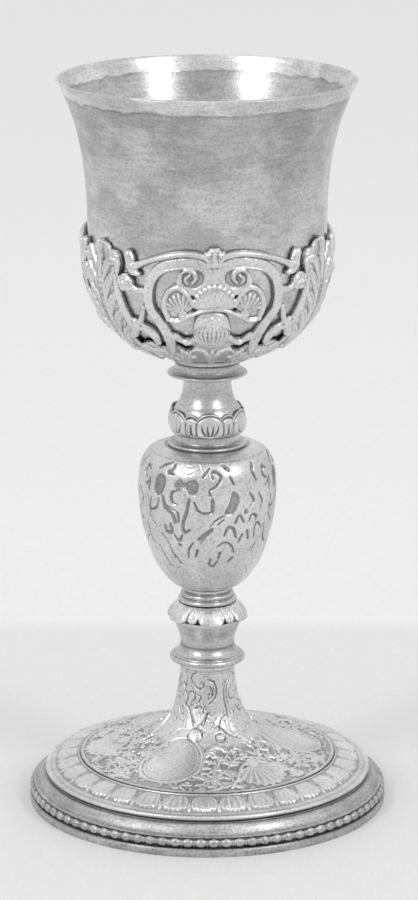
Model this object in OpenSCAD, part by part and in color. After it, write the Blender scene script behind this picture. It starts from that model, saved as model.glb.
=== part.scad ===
// Silver standing cup on a stem: a bell-shaped bowl in an openwork basket, a short neck,
// an urn-shaped knop and a round domed foot, all threaded on one rod and drawn tight
// by a nut under the foot. Every piece is turned or raised round the Z axis.
// Z = 0 is the table and the lip is the top. All sizes are in millimetres.

/* [Bowl] */
// Height of the lip above the table
lip_z = 240; // [236:0.5:246]
// Outer radius of the lip
lip_r = 47.9; // [46:0.1:50]
// Outer radius of the bowl at its narrowest, above the basket
waist_r = 38.2; // [37.5:0.1:38.6]
// Thickness of the bowl's wall
cup_wall = 1.0; // [0.8:0.1:1.2]

/* [Basket] */
// Outer radius of the openwork basket at its top
basket_r = 39.9; // [39.6:0.1:40.4]
// Thickness of the basket's wall
basket_wall = 1.2; // [1:0.1:1.3]
// How many times the scroll motif repeats round the basket
motifs = 3; // [3:1:3]

/* [Stem] */
// Outer radius of the knop at its widest
knop_r = 22.5; // [21:0.1:24]
// Outer radius of the drip flange above the neck
drip_r = 13.0; // [12.6:0.1:13.6]
// Outer radius of the dished collar on the knop
collar_r = 12.95; // [12.7:0.05:13.5]
// Outer radius of the leaf skirt under the knop
skirt_r = 13.5; // [13.2:0.1:14]
// Outer radius of the flange on top of the foot
stem_flange_r = 12.4; // [12:0.1:13]
// Number of broad leaves round each leaf ring
leaves = 6; // [6:1:6]
// Thickness of the hollow stem pieces
shell_wall = 1.2; // [1:0.1:1.4]

/* [Foot] */
// Outer radius of the flat base flange
base_r = 58.8; // [58.4:0.1:60]
// Thickness of the flat base flange
base_t = 2.6; // [2.2:0.1:2.8]
// Thickness of the raised foot sheet
foot_wall = 0.9; // [0.8:0.1:1]

/* [Fastening] */
// Radius of the rod that runs through the stem
rod_r = 3.0; // [2.5:0.1:3.2]
// Radial clearance of the nut and washer on the rod
rod_play = 0.05; // [0.02:0.01:0.1]
// Width of the square nut across its flats
nut_flats = 10; // [9:0.5:10.5]
// Thickness of the nut
nut_t = 5; // [4:0.5:5]

/* [Hidden] */

$fn = 96;

// Heights of the joints between the pieces, from the table up
wall_z = 9.6;
plate_z = 43.0;
stem_z = 47.4;
flange_z = 53.0;
spool_z = 66.1;
skirt_z = 67.3;
rings_z = 72.9;
knop_z = 120.4;
collar_z = 124.6;
neck_seat_z = 125.8;
neck_z = 142.9;
drip_z = 147.9;
basket_z = 149.8;

// Bowl: the waist is where the bell turns from belly to flare
waist_z = 186;
belly_h = 34.8;
belly_power = 2.7;
boss_r = 9.4;
cup_z = waist_z - belly_h * pow(sin(acos(boss_r / waist_r)), 2 / belly_power);

// Basket: its belly is a little fuller than the bowl's, so it stands clear of it
basket_h = 38;
basket_power = 2.4;
basket_top_z = 193;

// Stem: clear hole for the rod, and the radius of the stem's top where the flange sits
bore_r = rod_r + 0.5;
stem_r = 8.8;

// Foot: radius of the raised sheet's rim, and of the upright wall under it
foot_rim_r = 53.6;
rim_wall_r = 55.6;
rim_wall_t = 1.0;
base_inner_r = 51.5;

// Fastening: the washer lies against the bearing plate and the nut against the washer
washer_r = 7.0;
washer_t = 1.0;
washer_z = plate_z - washer_t;
nut_z = washer_z - nut_t;
rod_end_z = nut_z - 3;

// Points along a circular arc, from angle a0 to a1
function arc(x, z, r, a0, a1, n = 8) =
    [for (i = [0:n]) let (a = a0 + (a1 - a0) * i / n) [x + r * cos(a), z + r * sin(a)]];

// Points along a cubic Bezier curve from p to s, drawn towards q and r on the way
function bend(p, q, r, s, n = 8) =
    [for (i = [0:n]) let (t = i / n, u = 1 - t)
        u * u * u * p + 3 * u * u * t * q + 3 * u * t * t * r + t * t * t * s];

// A list back to front, for the inner side of a wall
function back(list) = [for (i = [len(list) - 1:-1:0]) list[i]];

// Outer side of a round belly, from its foot at radius foot_r up to its full radius
function belly(full_r, foot_r, h, power, n = 16) =
    [for (i = [0:n]) let (a = acos(foot_r / full_r) * (1 - i / n))
        [full_r * cos(a), waist_z - h * pow(sin(a), 2 / power)]];

// Outer side of the bowl's flare, from the waist to the lip
function flare(inset, n = 14) =
    [for (i = [1:n]) let (t = i / n)
        [waist_r - inset + (lip_r - waist_r) * pow(t, 3), waist_z + (lip_z - waist_z) * t]];

module turned(points) {
    rotate_extrude()
        polygon(points);
}

module cup() {
    outer = concat([[0, cup_z]], belly(waist_r, boss_r, belly_h, belly_power), flare(0));
    inner = concat([[0, cup_z + cup_wall]],
        belly(waist_r - cup_wall, boss_r - cup_wall, belly_h - cup_wall, belly_power),
        flare(cup_wall));
    color("silver")
        turned(concat(outer, back(inner)));
}

module bowl_boss() {
    socket_z = cup_z - 1;
    color("darkgray")
        difference() {
            translate([0, 0, basket_z])
                cylinder(r = boss_r - 0.2, h = cup_z - basket_z);
            translate([0, 0, basket_z - 1])
                cylinder(r = rod_r, h = socket_z - basket_z + 1);
        }
}

module tie_rod() {
    chamfer = 0.6;
    top_z = cup_z - 1;
    color("gray")
        turned([[0, rod_end_z], [rod_r - chamfer, rod_end_z], [rod_r, rod_end_z + chamfer],
            [rod_r, top_z], [0, top_z]]);
}

// A slanted opening with round ends, cut square through the basket's wall
module slot(angle, z, length, width, tilt) {
    rotate([0, 0, angle])
        translate([0, -basket_r - 5, z])
            rotate([-90, 0, 0])
                rotate([0, 0, tilt])
                    linear_extrude(20)
                        union() {
                            square([length - width, width], center = true);
                            for (side = [-1, 1])
                                translate([side * (length - width) / 2, 0])
                                    circle(d = width, $fn = 24);
                        }
}

// One half of the basket's motif: side is 1 to the right of its axis and -1 to the left
module motif_openings(axis, side) {
    slot(axis + side * 16, 168, 7, 2.2, side * 60);
    slot(axis + side * 24, 161.5, 8, 3, side * 15);
    slot(axis + side * 46, 166, 9, 3.4, side * -30);
    slot(axis + side * 35, 174, 7, 3, side * 40);
    slot(axis + side * 47, 184, 7, 3, 90);
}

// A scoop out of the basket's top edge, between a motif's frame and its leaf tips
module top_scoop(angle) {
    rotate([0, 0, angle])
        translate([0, -basket_r + 8, basket_top_z + 3])
            rotate([90, 0, 0])
                cylinder(r = 6.5, h = 12, $fn = 48);
}

module calyx() {
    axis = 3;
    rim_r = 12;
    outer = belly(basket_r, rim_r, basket_h, basket_power);
    inner = belly(basket_r - basket_wall, boss_r, basket_h - basket_wall, basket_power);
    color("lightgray")
        difference() {
            turned(concat([[boss_r, basket_z]], [for (p = outer) [p[0], max(p[1], basket_z)]],
                [[basket_r, basket_top_z], [basket_r - basket_wall, basket_top_z]],
                back([for (p = inner) [p[0], max(p[1], basket_z + 0.8)]])));
            for (i = [0:motifs - 1])
                for (side = [-1, 1]) {
                    motif_openings(axis + i * 360 / motifs, side);
                    top_scoop(axis + i * 360 / motifs + side * 32);
                    top_scoop(axis + i * 360 / motifs + side * 12);
                }
        }
}

module calyx_base_ring() {
    color("silver")
        turned(concat([[bore_r, drip_z]], [[10.0, drip_z]],
            arc(10.0, (drip_z + basket_z) / 2, (basket_z - drip_z) / 2, -90, 90),
            [[bore_r, basket_z]]));
}

module drip_flange() {
    rim_z = 144.4;
    rim = 0.7;
    color("silver")
        turned(concat([[bore_r, neck_z], [7.7, neck_z], [drip_r - rim - 0.4, rim_z - rim]],
            arc(drip_r - rim, rim_z, rim, -90, 60),
            bend([11.7, 145.3], [10.9, 146.0], [10.5, 146.9], [10.4, drip_z]),
            [[bore_r, drip_z]]));
}

module neck() {
    outer = concat(bend([10.0, neck_seat_z], [10.2, 132], [8.2, 134], [7.85, 139.6], 12),
        [[7.7, neck_z]]);
    inner = [for (p = outer) [p[0] - shell_wall, p[1]]];
    color("silver")
        turned(concat(outer, back(inner)));
}

// Round notches between leaves, cut through the wall of a leaf ring from radius inner outwards
module leaf_notches(z, r, inner, first) {
    for (i = [0:leaves - 1])
        for (side = [-1, 1])
            rotate([0, 0, first + i * 360 / leaves + side * 21])
                translate([0, -inner, z])
                    rotate([90, 0, 0])
                        cylinder(r = r, h = 8, $fn = 24);
}

module upper_leaf_ring() {
    tip_z = 133.3;
    t = 0.9;
    outer = bend([10.3, collar_z], [13.2, 126.4], [13.0, 130.5], [11.9, tip_z], 10);
    color("silver")
        difference() {
            turned(concat([[bore_r, collar_z]], outer,
                back([for (p = outer) if (p[1] > neck_seat_z) [p[0] - t, p[1]]]),
                [[10.1, neck_seat_z], [bore_r, neck_seat_z]]));
            leaf_notches(tip_z + 0.4, 1.6, 10.2, 5);
        }
}

module knop_collar() {
    rim = 0.6;
    color("silver")
        turned(concat([[bore_r, knop_z], [collar_r - rim, knop_z]],
            arc(collar_r - rim, knop_z + rim, rim, -60, 90),
            bend([12.1, 121.7], [11.1, 122.2], [10.6, 123.4], [10.5, collar_z]),
            [[bore_r, collar_z]]));
}

module knop() {
    widest_z = 105;
    outer = concat(
        bend([8.2, rings_z], [14.5, rings_z + 1.6], [knop_r, 90], [knop_r, widest_z], 14),
        bend([knop_r, widest_z], [knop_r, 115.5], [19.6, 119.9], [13.5, knop_z], 12));
    inner = concat(
        bend([8.0, rings_z + shell_wall], [14, rings_z + 3], [knop_r - shell_wall, 91],
            [knop_r - shell_wall, widest_z], 14),
        bend([knop_r - shell_wall, widest_z], [knop_r - shell_wall, 114.5], [18.6, 118.6],
            [13.0, knop_z - shell_wall], 12));
    color("silver")
        turned(concat([[bore_r, rings_z]], outer, [[bore_r, knop_z]],
            [[bore_r, knop_z - shell_wall]], back(inner), [[bore_r, rings_z + shell_wall]]));
}

// Three small steps between the knop and the leaf skirt, each with a rounded edge
module knop_base_rings() {
    steps = [[9.5, 0.75], [8.6, 0.85], [7.8, 0.8]];
    step_h = (rings_z - skirt_z) / 3;
    color("silver")
        turned(concat([[bore_r, skirt_z]],
            [for (i = [0:2])
                for (p = arc(steps[i][0] - steps[i][1], skirt_z + step_h * (i + 0.5),
                    steps[i][1], -80, 80, 6)) p],
            [[bore_r, rings_z]]));
}

module leaf_skirt() {
    tip_z = 62.0;
    t = 1.3;
    outer = bend([skirt_r, tip_z], [skirt_r - 1.3, 63.4], [11.2, 65.6], [9.4, skirt_z], 8);
    color("silver")
        difference() {
            turned(concat(outer, [[bore_r, skirt_z], [bore_r, spool_z], [9.0, spool_z]],
                back([for (p = outer) if (p[1] < spool_z - 0.4) [p[0] - t, p[1]]])));
            leaf_notches(tip_z - 0.5, 1.5, 10.4, 6.5);
        }
}

module lower_spool() {
    outer = concat([[9.3, flange_z]],
        bend([8.8, 53.6], [8.6, 56.5], [9.6, 58.6], [10.9, 60.8], 10),
        [[10.9, 61.8], [8.2, 64.6], [7.6, spool_z]]);
    color("silver")
        turned(concat([[bore_r, flange_z]], outer, [[bore_r, spool_z], [bore_r, spool_z - shell_wall],
            [6.2, 63.6], [7.2, 60.5], [7.0, 56], [7.6, flange_z + shell_wall],
            [bore_r, flange_z + shell_wall]]));
}

module stem_flange() {
    tube = 1.25;
    color("silver")
        turned(concat([[bore_r, stem_z]], [[stem_r, stem_z]],
            arc(stem_flange_r - tube, 48.6, tube, -90, 75, 10),
            [[11.0, 50.1]],
            bend([11.1, 50.3], [10.8, 51.6], [9.6, 51.7], [9.3, flange_z], 6),
            [[bore_r, flange_z]]));
}

// Outer side of the foot, from the stem's top down and out to its rim
function foot_side() = concat(
    [[stem_r, stem_z], [stem_r, 45.4]],
    bend([stem_r, 45], [9.6, 36], [10.4, 30.5], [15.5, 24.6], 10),
    bend([15.5, 24.6], [21, 19.2], [32, 17.4], [42.2, 15.6], 10),
    bend([42.6, 15.1], [46, 14.4], [49, 13.4], [50.7, 11.9], 6),
    [[51.2, 11.7]],
    arc(foot_rim_r - 0.8, 10.95, 0.8, 70, -60, 6));

module foot() {
    outer = foot_side();
    color("silver")
        turned(concat(outer, [[52.0, 9.6], [51.6, 10.3]],
            back([for (p = outer) if (p[0] < 50.8) [p[0] - foot_wall * 0.8, p[1] - foot_wall * 0.8]]),
            [[stem_r - foot_wall, stem_z]]));
}

module bearing_plate() {
    color("darkgray")
        turned([[bore_r, plate_z], [7.6, plate_z], [7.6, stem_z], [bore_r, stem_z]]);
}

module rim_wall() {
    color("silver")
        turned([[rim_wall_r - rim_wall_t, base_t], [rim_wall_r, base_t], [rim_wall_r, 6.2],
            [53.0, wall_z], [52.0, wall_z], [rim_wall_r - rim_wall_t, 5.8]]);
}

module cavetto_moulding() {
    color("silver")
        turned(concat(bend([57.7, 6.3], [56.2, 6.7], [55.4, 8.0], [53.9, wall_z], 8),
            [[53.1, wall_z], [rim_wall_r + 0.1, 6.3]]));
}

module egg_and_dart_wire() {
    color("silver")
        turned(concat([[rim_wall_r, base_t]], arc(56.6, 4.4, 1.8, -70, 75, 10),
            [[rim_wall_r, 6.2]]));
}

module base_flange() {
    edge = 0.5;
    color("silver")
        turned([[base_inner_r, 0], [base_r, 0], [base_r, base_t - edge],
            [base_r - edge, base_t], [base_inner_r, base_t]]);
}

module clamp_washer() {
    color("darkgray")
        turned([[rod_r + rod_play, washer_z], [washer_r, washer_z], [washer_r, plate_z],
            [rod_r + rod_play, plate_z]]);
}

module clamp_nut() {
    color("gray")
        difference() {
            intersection() {
                translate([-nut_flats / 2, -nut_flats / 2, nut_z])
                    cube([nut_flats, nut_flats, nut_t]);
                turned([[0, nut_z], [nut_flats * 0.56, nut_z], [nut_flats * 0.68, nut_z + 1.2],
                    [nut_flats * 0.68, washer_z], [0, washer_z]]);
            }
            translate([0, 0, nut_z - 1])
                cylinder(r = rod_r + rod_play, h = nut_t + 2);
        }
}

cup();
bowl_boss();
tie_rod();
calyx();
calyx_base_ring();
drip_flange();
neck();
upper_leaf_ring();
knop_collar();
knop();
knop_base_rings();
leaf_skirt();
lower_spool();
stem_flange();
foot();
bearing_plate();
rim_wall();
cavetto_moulding();
egg_and_dart_wire();
base_flange();
clamp_washer();
clamp_nut();
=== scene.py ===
import math
import bpy
import numpy as np
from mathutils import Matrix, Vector


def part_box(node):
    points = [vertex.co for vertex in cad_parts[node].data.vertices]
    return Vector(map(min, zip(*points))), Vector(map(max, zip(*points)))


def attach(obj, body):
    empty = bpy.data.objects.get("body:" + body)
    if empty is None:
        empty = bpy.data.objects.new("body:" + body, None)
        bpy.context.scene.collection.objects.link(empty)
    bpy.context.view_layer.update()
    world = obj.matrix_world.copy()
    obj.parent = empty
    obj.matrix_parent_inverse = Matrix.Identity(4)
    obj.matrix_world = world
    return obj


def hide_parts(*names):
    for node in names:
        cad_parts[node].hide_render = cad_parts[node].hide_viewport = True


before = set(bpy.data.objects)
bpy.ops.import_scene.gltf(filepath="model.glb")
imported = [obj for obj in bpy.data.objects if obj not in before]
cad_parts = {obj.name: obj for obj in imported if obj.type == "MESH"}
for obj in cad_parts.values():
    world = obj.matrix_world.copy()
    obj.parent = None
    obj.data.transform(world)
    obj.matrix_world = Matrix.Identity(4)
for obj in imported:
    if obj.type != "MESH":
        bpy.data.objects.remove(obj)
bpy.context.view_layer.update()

# The silver standing cup. Its visible pieces are turned round the Z axis, and the outer wall
# of most carries a relief, worked out stroke by stroke in millimetres. Azimuth 0 faces -Y and
# grows towards +X. Heights and radii start from the boxes of the CAD nodes.
MM = 0.001
TURN = 2 * math.pi
FAR = 9.0                # mm: further than any stroke or edge is measured
MOST_TRIANGLES = 190000  # in one piece
THIRDS = (0, 120, 240)
rng = np.random.default_rng(11)


# ---------------------------------------------------------------- curves, in millimetres

def smooth(points, step=0.3, closed=False):
    """A smooth curve through the points, sampled about every step."""
    p = np.array(points, float)
    if closed:
        p = np.vstack([p[-1], p, p[0], p[1]])
    elif len(p) == 2:
        n = max(2, int(math.dist(p[0], p[1]) / step) + 1)
        return np.linspace(p[0], p[1], n)
    else:
        p = np.vstack([2 * p[0] - p[1], p, 2 * p[-1] - p[-2]])
    samples = 16
    t = np.linspace(0, 1, samples, endpoint=False)[:, None]
    parts = []
    for a, b, c, d in zip(p[:-3], p[1:-2], p[2:-1], p[3:]):
        parts.append(0.5 * (2 * b + (c - a) * t + (2 * a - 5 * b + 4 * c - d) * t ** 2
                            + (3 * b - a - 3 * c + d) * t ** 3))
    line = np.vstack(parts + [p[-2][None]])
    length = arc_length(line)
    at = np.linspace(0, length[-1], max(2, int(length[-1] / step) + 1))
    return np.column_stack([np.interp(at, length, line[:, 0]), np.interp(at, length, line[:, 1])])


def arc_length(line):
    """The way along a line from its start to each of its points."""
    return np.r_[0, np.cumsum(np.hypot(*np.diff(line, axis=0).T))]


def headings(line):
    """The unit vector along a line at each of its points."""
    step = np.gradient(line, axis=0)
    return step / np.hypot(*step.T)[:, None]


def section(runs, step):
    """Several runs end to end, smooth inside each run and crisp between them."""
    crisp = 0.05
    lines = []
    for run in runs:
        line = smooth(run, step)
        near = crisp / max(math.dist(line[0], line[1]), 0.1)
        far = crisp / max(math.dist(line[-1], line[-2]), 0.1)
        lines.append(np.vstack([line[:1], line[:1] + (line[1:2] - line[:1]) * near, line[1:-1],
                                line[-1:] + (line[-2:-1] - line[-1:]) * far, line[-1:]]))
    return np.vstack([lines[0]] + [line[1:] for line in lines[1:]])


def arc(x, z, r, start, end):
    """Points on a circle in a section, angles in degrees."""
    a = np.radians(np.linspace(start, end, 7))
    return [(x + r * math.cos(v), z + r * math.sin(v)) for v in a]


def curl(heading, length, bend):
    """A path from (0, 0) that bends ever more, up to bend radians per millimetre."""
    n = max(6, int(length / 0.4))
    t = (np.arange(n) + 0.5) / n
    first = bend * 0.4
    turn = math.radians(heading) + np.cumsum(first + (bend - first) * t) * length / n
    return np.column_stack([np.cumsum(np.cos(turn)), np.cumsum(np.sin(turn))]) * length / n


def round_axis(r, z, phi):
    """Points at the radius r, the height z and the azimuth phi."""
    return np.stack([r * np.sin(phi), -r * np.cos(phi), z + 0 * (r + phi)], -1)


# ---------------------------------------------------------------- walls with relief

class Wall:
    """The outer side of a round piece, from its lower edge to its upper edge.

    h is the relief over the plain wall, and gap says how far inside the metal of an open-work
    wall a cell lies, both in mm, on a grid of arc length s by azimuth phi.
    """

    def __init__(self, runs, step, around):
        line = section(runs, step)
        self.r, self.z = line.T
        self.s = arc_length(line)
        self.around = around
        self.dphi = TURN / around
        self.phi = np.arange(around) * self.dphi
        self.h = np.zeros((len(self.r), around))
        self.gap = np.full_like(self.h, FAR)
        tangent = headings(line)
        self.nr, self.nz = tangent[:, 1], -tangent[:, 0]

    def s_at(self, z):
        """Arc length at the height z, where the wall rises all the way."""
        return float(np.interp(z, self.z, self.s))

    def radius(self, s):
        """The plain wall's radius at the arc length s."""
        return float(np.interp(s, self.s, self.r))

    def turn_from(self, deg):
        """How far each column is turned from the azimuth, in radians."""
        return np.abs((self.phi - math.radians(deg) + math.pi) % TURN - math.pi)

    def window(self, deg, s, reach_x, low, high):
        """Grid cells near (deg, s): their index, and their place in mm from that point."""
        rows = np.flatnonzero((self.s >= s + low) & (self.s <= s + high))
        half = min(self.around // 2 - 1, int(reach_x / self.radius(s) / self.dphi) + 2)
        centre = round(math.radians(deg) / self.dphi)
        steps = centre + np.arange(-half, half + 1)
        angle = steps * self.dphi - math.radians(deg)
        index = np.ix_(rows, steps % self.around)
        return index, angle[None, :], self.s[rows][:, None] - s, self.r[rows][:, None]

    def measure(self, deg, s, path, widths, side):
        """Each cell's distance to the path, as a share of its half-width, and to its edge."""
        path = np.array(path, float) * (side, 1)
        w = np.interp(np.linspace(0, 1, len(path)), np.linspace(0, 1, len(widths)), widths)
        widest = w.max() + 0.3
        unit = self.radius(s)
        index, angle, y, r = self.window(deg, s, np.abs(path[:, 0]).max() + widest * 1.6,
                                         path[:, 1].min() - widest, path[:, 1].max() + widest)
        share = np.full((y.shape[0], angle.shape[1]), FAR)
        away = share.copy()
        for (px, py), pw in zip(path, w):
            d = np.hypot((angle - px / unit) * r, y - py)
            np.minimum(share, d / pw, out=share)
            np.minimum(away, d - pw, out=away)
        return index, share, away

    def inside(self, deg, s, points, side=1):
        """Signed distance to a smooth closed outline, negative inside."""
        line = smooth(points, 0.5, closed=True) * (side, 1)
        index, angle, y, r = self.window(deg, s, np.abs(line[:, 0]).max() + 2,
                                         line[:, 1].min() - 1, line[:, 1].max() + 1)
        d = np.full((y.shape[0], angle.shape[1]), FAR)
        within = np.zeros(d.shape, bool)
        unit = self.radius(s)
        x = angle * unit + 0 * y
        yy = y + 0 * angle
        k = r / unit
        for (ax, ay), (bx, by) in zip(line, np.roll(line, -1, axis=0)):
            ex, ey = (bx - ax) * k, by - ay
            t = np.clip(((x - ax) * k * ex + (yy - ay) * ey) / (ex * ex + ey * ey + 1e-9), 0, 1)
            np.minimum(d, np.hypot((x - ax) * k - ex * t, yy - ay - ey * t), out=d)
            if ay != by:
                cross = ((ay > yy) != (by > yy)) & (x < (bx - ax) * (yy - ay) / (by - ay) + ax)
                within ^= cross
        return index, np.where(within, -d, d)

    def polar(self, deg, s, reach):
        """Distance in mm and direction in radians from the point; direction 0 is up."""
        index, angle, y, r = self.window(deg, s, reach * 1.4, -reach, reach)
        x = angle * r
        return index, np.hypot(x, y), np.arctan2(x, y + 0 * x)

    def lift(self, index, h):
        """Raises cells to the height h where they are lower."""
        self.h[index] = np.maximum(self.h[index], h)

    def lower(self, index, d, depth, edge):
        """Sinks the cells where d is negative to a flat floor, over a sloping edge."""
        floor = -depth * np.clip(-d / edge, 0, 1)
        self.h[index] = np.where(d < 0, np.minimum(self.h[index], floor), self.h[index])

    def raised(self, deg, s, path, widths, height, side=1, form="round", ground=0.0):
        """Raises a stroke over the ground: rounded, a channel between two rims, or flat."""
        index, q, away = self.measure(deg, s, path, widths, side)
        if form == "round":
            shape = np.sqrt(np.clip(1 - q * q, 0, 1))
        elif form == "channel":
            shape = np.clip((1 - q) / 0.2, 0, 1) * (0.7 + 0.3 * np.clip(q / 0.78, 0, 1) ** 5)
        else:
            shape = np.clip(-away / 0.3, 0, 1)
        self.lift(index, np.where(q < 1, ground + (height - ground) * shape, -FAR))

    def strand(self, deg, s, path, widths, height, side=1, form="round"):
        """A raised stroke that is also metal of an open-work wall."""
        self.raised(deg, s, path, widths, height, side, form)
        index, _, away = self.measure(deg, s, path, widths, side)
        self.gap[index] = np.maximum(self.gap[index], -away)

    def fill(self, deg, s, points, height=0.0, side=1, edge=1.5):
        """Metal inside a closed outline, swelling to the height away from its edge."""
        index, d = self.inside(deg, s, points, side)
        self.gap[index] = np.maximum(self.gap[index], -d)
        swell = np.sqrt(np.clip(1 - (1 - np.clip(-d / edge, 0, 1)) ** 2, 0, 1))
        self.lift(index, np.where(d < 0, height * swell, -FAR))

    def slit(self, deg, s, path, widths, side):
        """An opening in an open-work wall, as wide as the stroke."""
        index, _, away = self.measure(deg, s, path, widths, side)
        self.gap[index] = np.minimum(self.gap[index], away)

    def carved(self, deg, s, path, widths, depth, side=1):
        """A groove with a rounded floor, cut into whatever is there."""
        index, q, _ = self.measure(deg, s, path, widths, side)
        self.h[index] -= depth * np.clip(1 - q * q, 0, 1)

    def sunk(self, deg, s, path, widths, depth):
        """A stroke sunk to a flat floor at the depth."""
        index, _, away = self.measure(deg, s, path, widths, 1)
        self.lower(index, away, depth, 0.22)

    def recess(self, deg, s, points, depth):
        """The inside of a closed outline sunk to a flat floor at the depth."""
        index, d = self.inside(deg, s, points)
        self.lower(index, d, depth, 0.25)

    def shell(self, deg, s, radius, ribs, height, tilt):
        """A scallop shell, opening away from its hinge."""
        index, rho, theta = self.polar(deg, s, radius * 1.2)
        theta = (theta - math.radians(tilt) + math.pi) % TURN - math.pi
        spread = 64
        across = theta / math.radians(spread)
        rib = np.cos(across * math.pi * ribs) * 0.5 + 0.5
        rim = radius * (0.93 + 0.07 * rib) * np.clip(1.02 - 0.25 * across ** 2, 0.1, 2)
        fall = np.clip((rim - rho) / (0.12 * radius), 0, 1)
        dish = 0.45 + 0.55 * (rho / radius)
        h = height * fall * dish * (0.35 + 0.65 * rib)
        self.lift(index, np.where((np.abs(across) < 1) & (rho < rim), h, -FAR))
        self.lift(index, np.where(rho < radius * 0.17, height * 0.9, -FAR))

    def rosette(self, deg, s, radius, petals, height, swirl=0.0):
        """A round flower with a raised eye, its petals turned by the swirl."""
        index, rho, theta = self.polar(deg, s, radius * 1.15)
        wave = np.abs(np.cos((theta + swirl * rho / radius) * petals / 2))
        rim = radius * (0.82 + 0.18 * wave)
        body = np.sqrt(np.clip(1 - (rho / rim) ** 2, 0, 1)) * (0.5 + 0.5 * wave ** 0.7)
        self.lift(index, np.where(rho < rim, height * (0.25 + 0.75 * body), -FAR))
        eye = radius * 0.24
        dome = np.sqrt(np.clip(1 - (rho / eye) ** 2, 0, 1))
        self.lift(index, np.where(rho < eye, height * (0.8 + 0.5 * dome), -FAR))

    def leaf(self, deg, s, path, width, height):
        """A pointed leaf along a path: rounded body, sunk vein and slanting side ribs."""
        self.raised(deg, s, path, (width * 0.45, width * 0.95, width, width * 0.8, 0.15), height)
        vein = path[: int(len(path) * 0.9)]
        self.carved(deg, s, vein, (width * 0.16, width * 0.1), height * 0.45)
        step = headings(path)
        ribs = 5
        for i in range(1, ribs + 1):
            k = int(len(path) * (0.12 + 0.72 * i / (ribs + 1)))
            for out in (1, -1):
                lean = step[k] * 0.8 + out * np.array([-step[k][1], step[k][0]])
                rib = smooth([path[k], path[k] + lean * width * 0.85], 0.25)
                self.carved(deg, s, rib, (width * 0.07, width * 0.13), height * 0.4)

    def points(self):
        """The wall's points with their relief."""
        r = self.r[:, None] + self.nr[:, None] * self.h
        z = self.z[:, None] + self.nz[:, None] * self.h
        return round_axis(r, z, self.phi)


# ---------------------------------------------------------------- meshes

def write_mesh(name, co, quads, tone, tris=None):
    """A smooth-shaded mesh from arrays, in mm, with the tone of its relief as an attribute."""
    faces, sizes = [quads.reshape(-1)], [np.full(len(quads), 4)]
    if tris is not None:
        faces.append(tris.reshape(-1))
        sizes.append(np.full(len(tris), 3))
    faces, sizes = np.concatenate(faces), np.concatenate(sizes)
    mesh = bpy.data.meshes.new(name)
    mesh.vertices.add(len(co))
    mesh.vertices.foreach_set("co", (co * MM).astype(np.float32).ravel())
    mesh.loops.add(len(faces))
    mesh.loops.foreach_set("vertex_index", faces.astype(np.int32))
    mesh.polygons.add(len(sizes))
    mesh.polygons.foreach_set("loop_start", np.r_[0, np.cumsum(sizes)[:-1]].astype(np.int32))
    mesh.polygons.foreach_set("use_smooth", np.ones(len(sizes), bool))
    mesh.update(calc_edges=True)
    mesh.validate()
    # the relief attribute holds the painted shade tone of the piece
    layer = mesh.attributes.new("relief", "FLOAT", "POINT")
    layer.data.foreach_set("value", tone.astype(np.float32).ravel())
    piece = bpy.data.objects.new(name, mesh)
    bpy.context.scene.collection.objects.link(piece)
    return piece


def grid_mesh(name, grid, tone, poles=False):
    """A closed mesh from rows of points round the axis; with poles its two ends meet on it."""
    rows, n = grid.shape[:2]
    i, j = np.arange(rows - 1 if poles else rows)[:, None], np.arange(n)[None, :]
    above, right = (i + 1) % rows, (j + 1) % n
    quads = [i * n + j, i * n + right, above * n + right, above * n + j]
    co, tone, tris = grid.reshape(-1, 3), tone.ravel(), None
    if poles:
        co = np.vstack([co, grid[0, 0] * (0, 0, 1), grid[-1, 0] * (0, 0, 1)])
        tone = np.r_[tone, 0.5, 0.5]
        k, k2, end = j[0], right[0], (rows - 1) * n
        tris = np.vstack([np.column_stack([k2, k, np.full(n, rows * n)]),
                          np.column_stack([end + k, end + k2, np.full(n, rows * n + 1)])])
    return write_mesh(name, co, np.stack(quads, -1).reshape(-1, 4), tone, tris)


def local_mean(h):
    """The relief averaged over a few cells each way."""
    cells = 2
    mean = h
    for _ in range(2):
        mean = sum(np.roll(mean, k, 1) for k in range(-cells, cells + 1)) / (2 * cells + 1)
        padded = np.pad(mean, ((cells, cells), (0, 0)), mode="edge")
        mean = sum(padded[k:k + len(h)] for k in range(2 * cells + 1)) / (2 * cells + 1)
    return mean


def relief_shade_tone(h):
    """0 in the deepest recess, 0.5 on the plain wall, 1 on the highest relief.

    Painted shade, with some tarnish, also darkens wherever the relief dips below its surroundings.
    """
    # painted shade: the tone falls below 0.5 in recesses and dips; it rises a little on the raised relief
    # as painted light
    tone = np.clip(0.5 + 0.5 * h / 0.9, 0, 1)
    cavity_shade = np.clip(local_mean(h) - h - 0.03, 0, 0.4)
    return np.where(cavity_shade > 0, np.minimum(tone, 0.5) - 0.85 * cavity_shade, tone)


def joint_shade_tone(wall):
    """Painted shade: darker where the section is hollow and at the joints above and below the piece."""
    reach, joint = 0.6, 0.4
    ahead, behind = ([np.interp(wall.s + d, wall.s, v) for v in (wall.r, wall.z)]
                     for d in (reach, -reach))
    hollow = (((ahead[0] + behind[0]) / 2 - wall.r) * wall.nr
              + ((ahead[1] + behind[1]) / 2 - wall.z) * wall.nz)
    ends = np.exp(-wall.s / joint) + np.exp(-(wall.s[-1] - wall.s) / joint)
    return (-1.1 * np.clip(hollow, 0, 1) - 0.3 * ends)[:, None]


def ring_solid(name, wall, inner, poles=False):
    """A closed solid: the wall with its relief outside, and a plain inner side.

    inner is the runs of (r, z) points from the wall's upper edge back to its lower edge.
    With poles the first and last points of the whole section lie on the axis.
    """
    back = section(inner, 1.2)
    if not poles:
        back = back[1:-1]
    ring = round_axis(back[:, :1], back[:, 1:], wall.phi)
    # the outer side's tone: painted shade from the relief and from the hollows and joints
    outer_tone = np.clip(relief_shade_tone(wall.h) + joint_shade_tone(wall), 0, 1)
    tone = np.concatenate([outer_tone, np.full(ring.shape[:2], 0.5)])
    return grid_mesh(name, np.concatenate([wall.points(), ring]), tone, poles)


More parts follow.
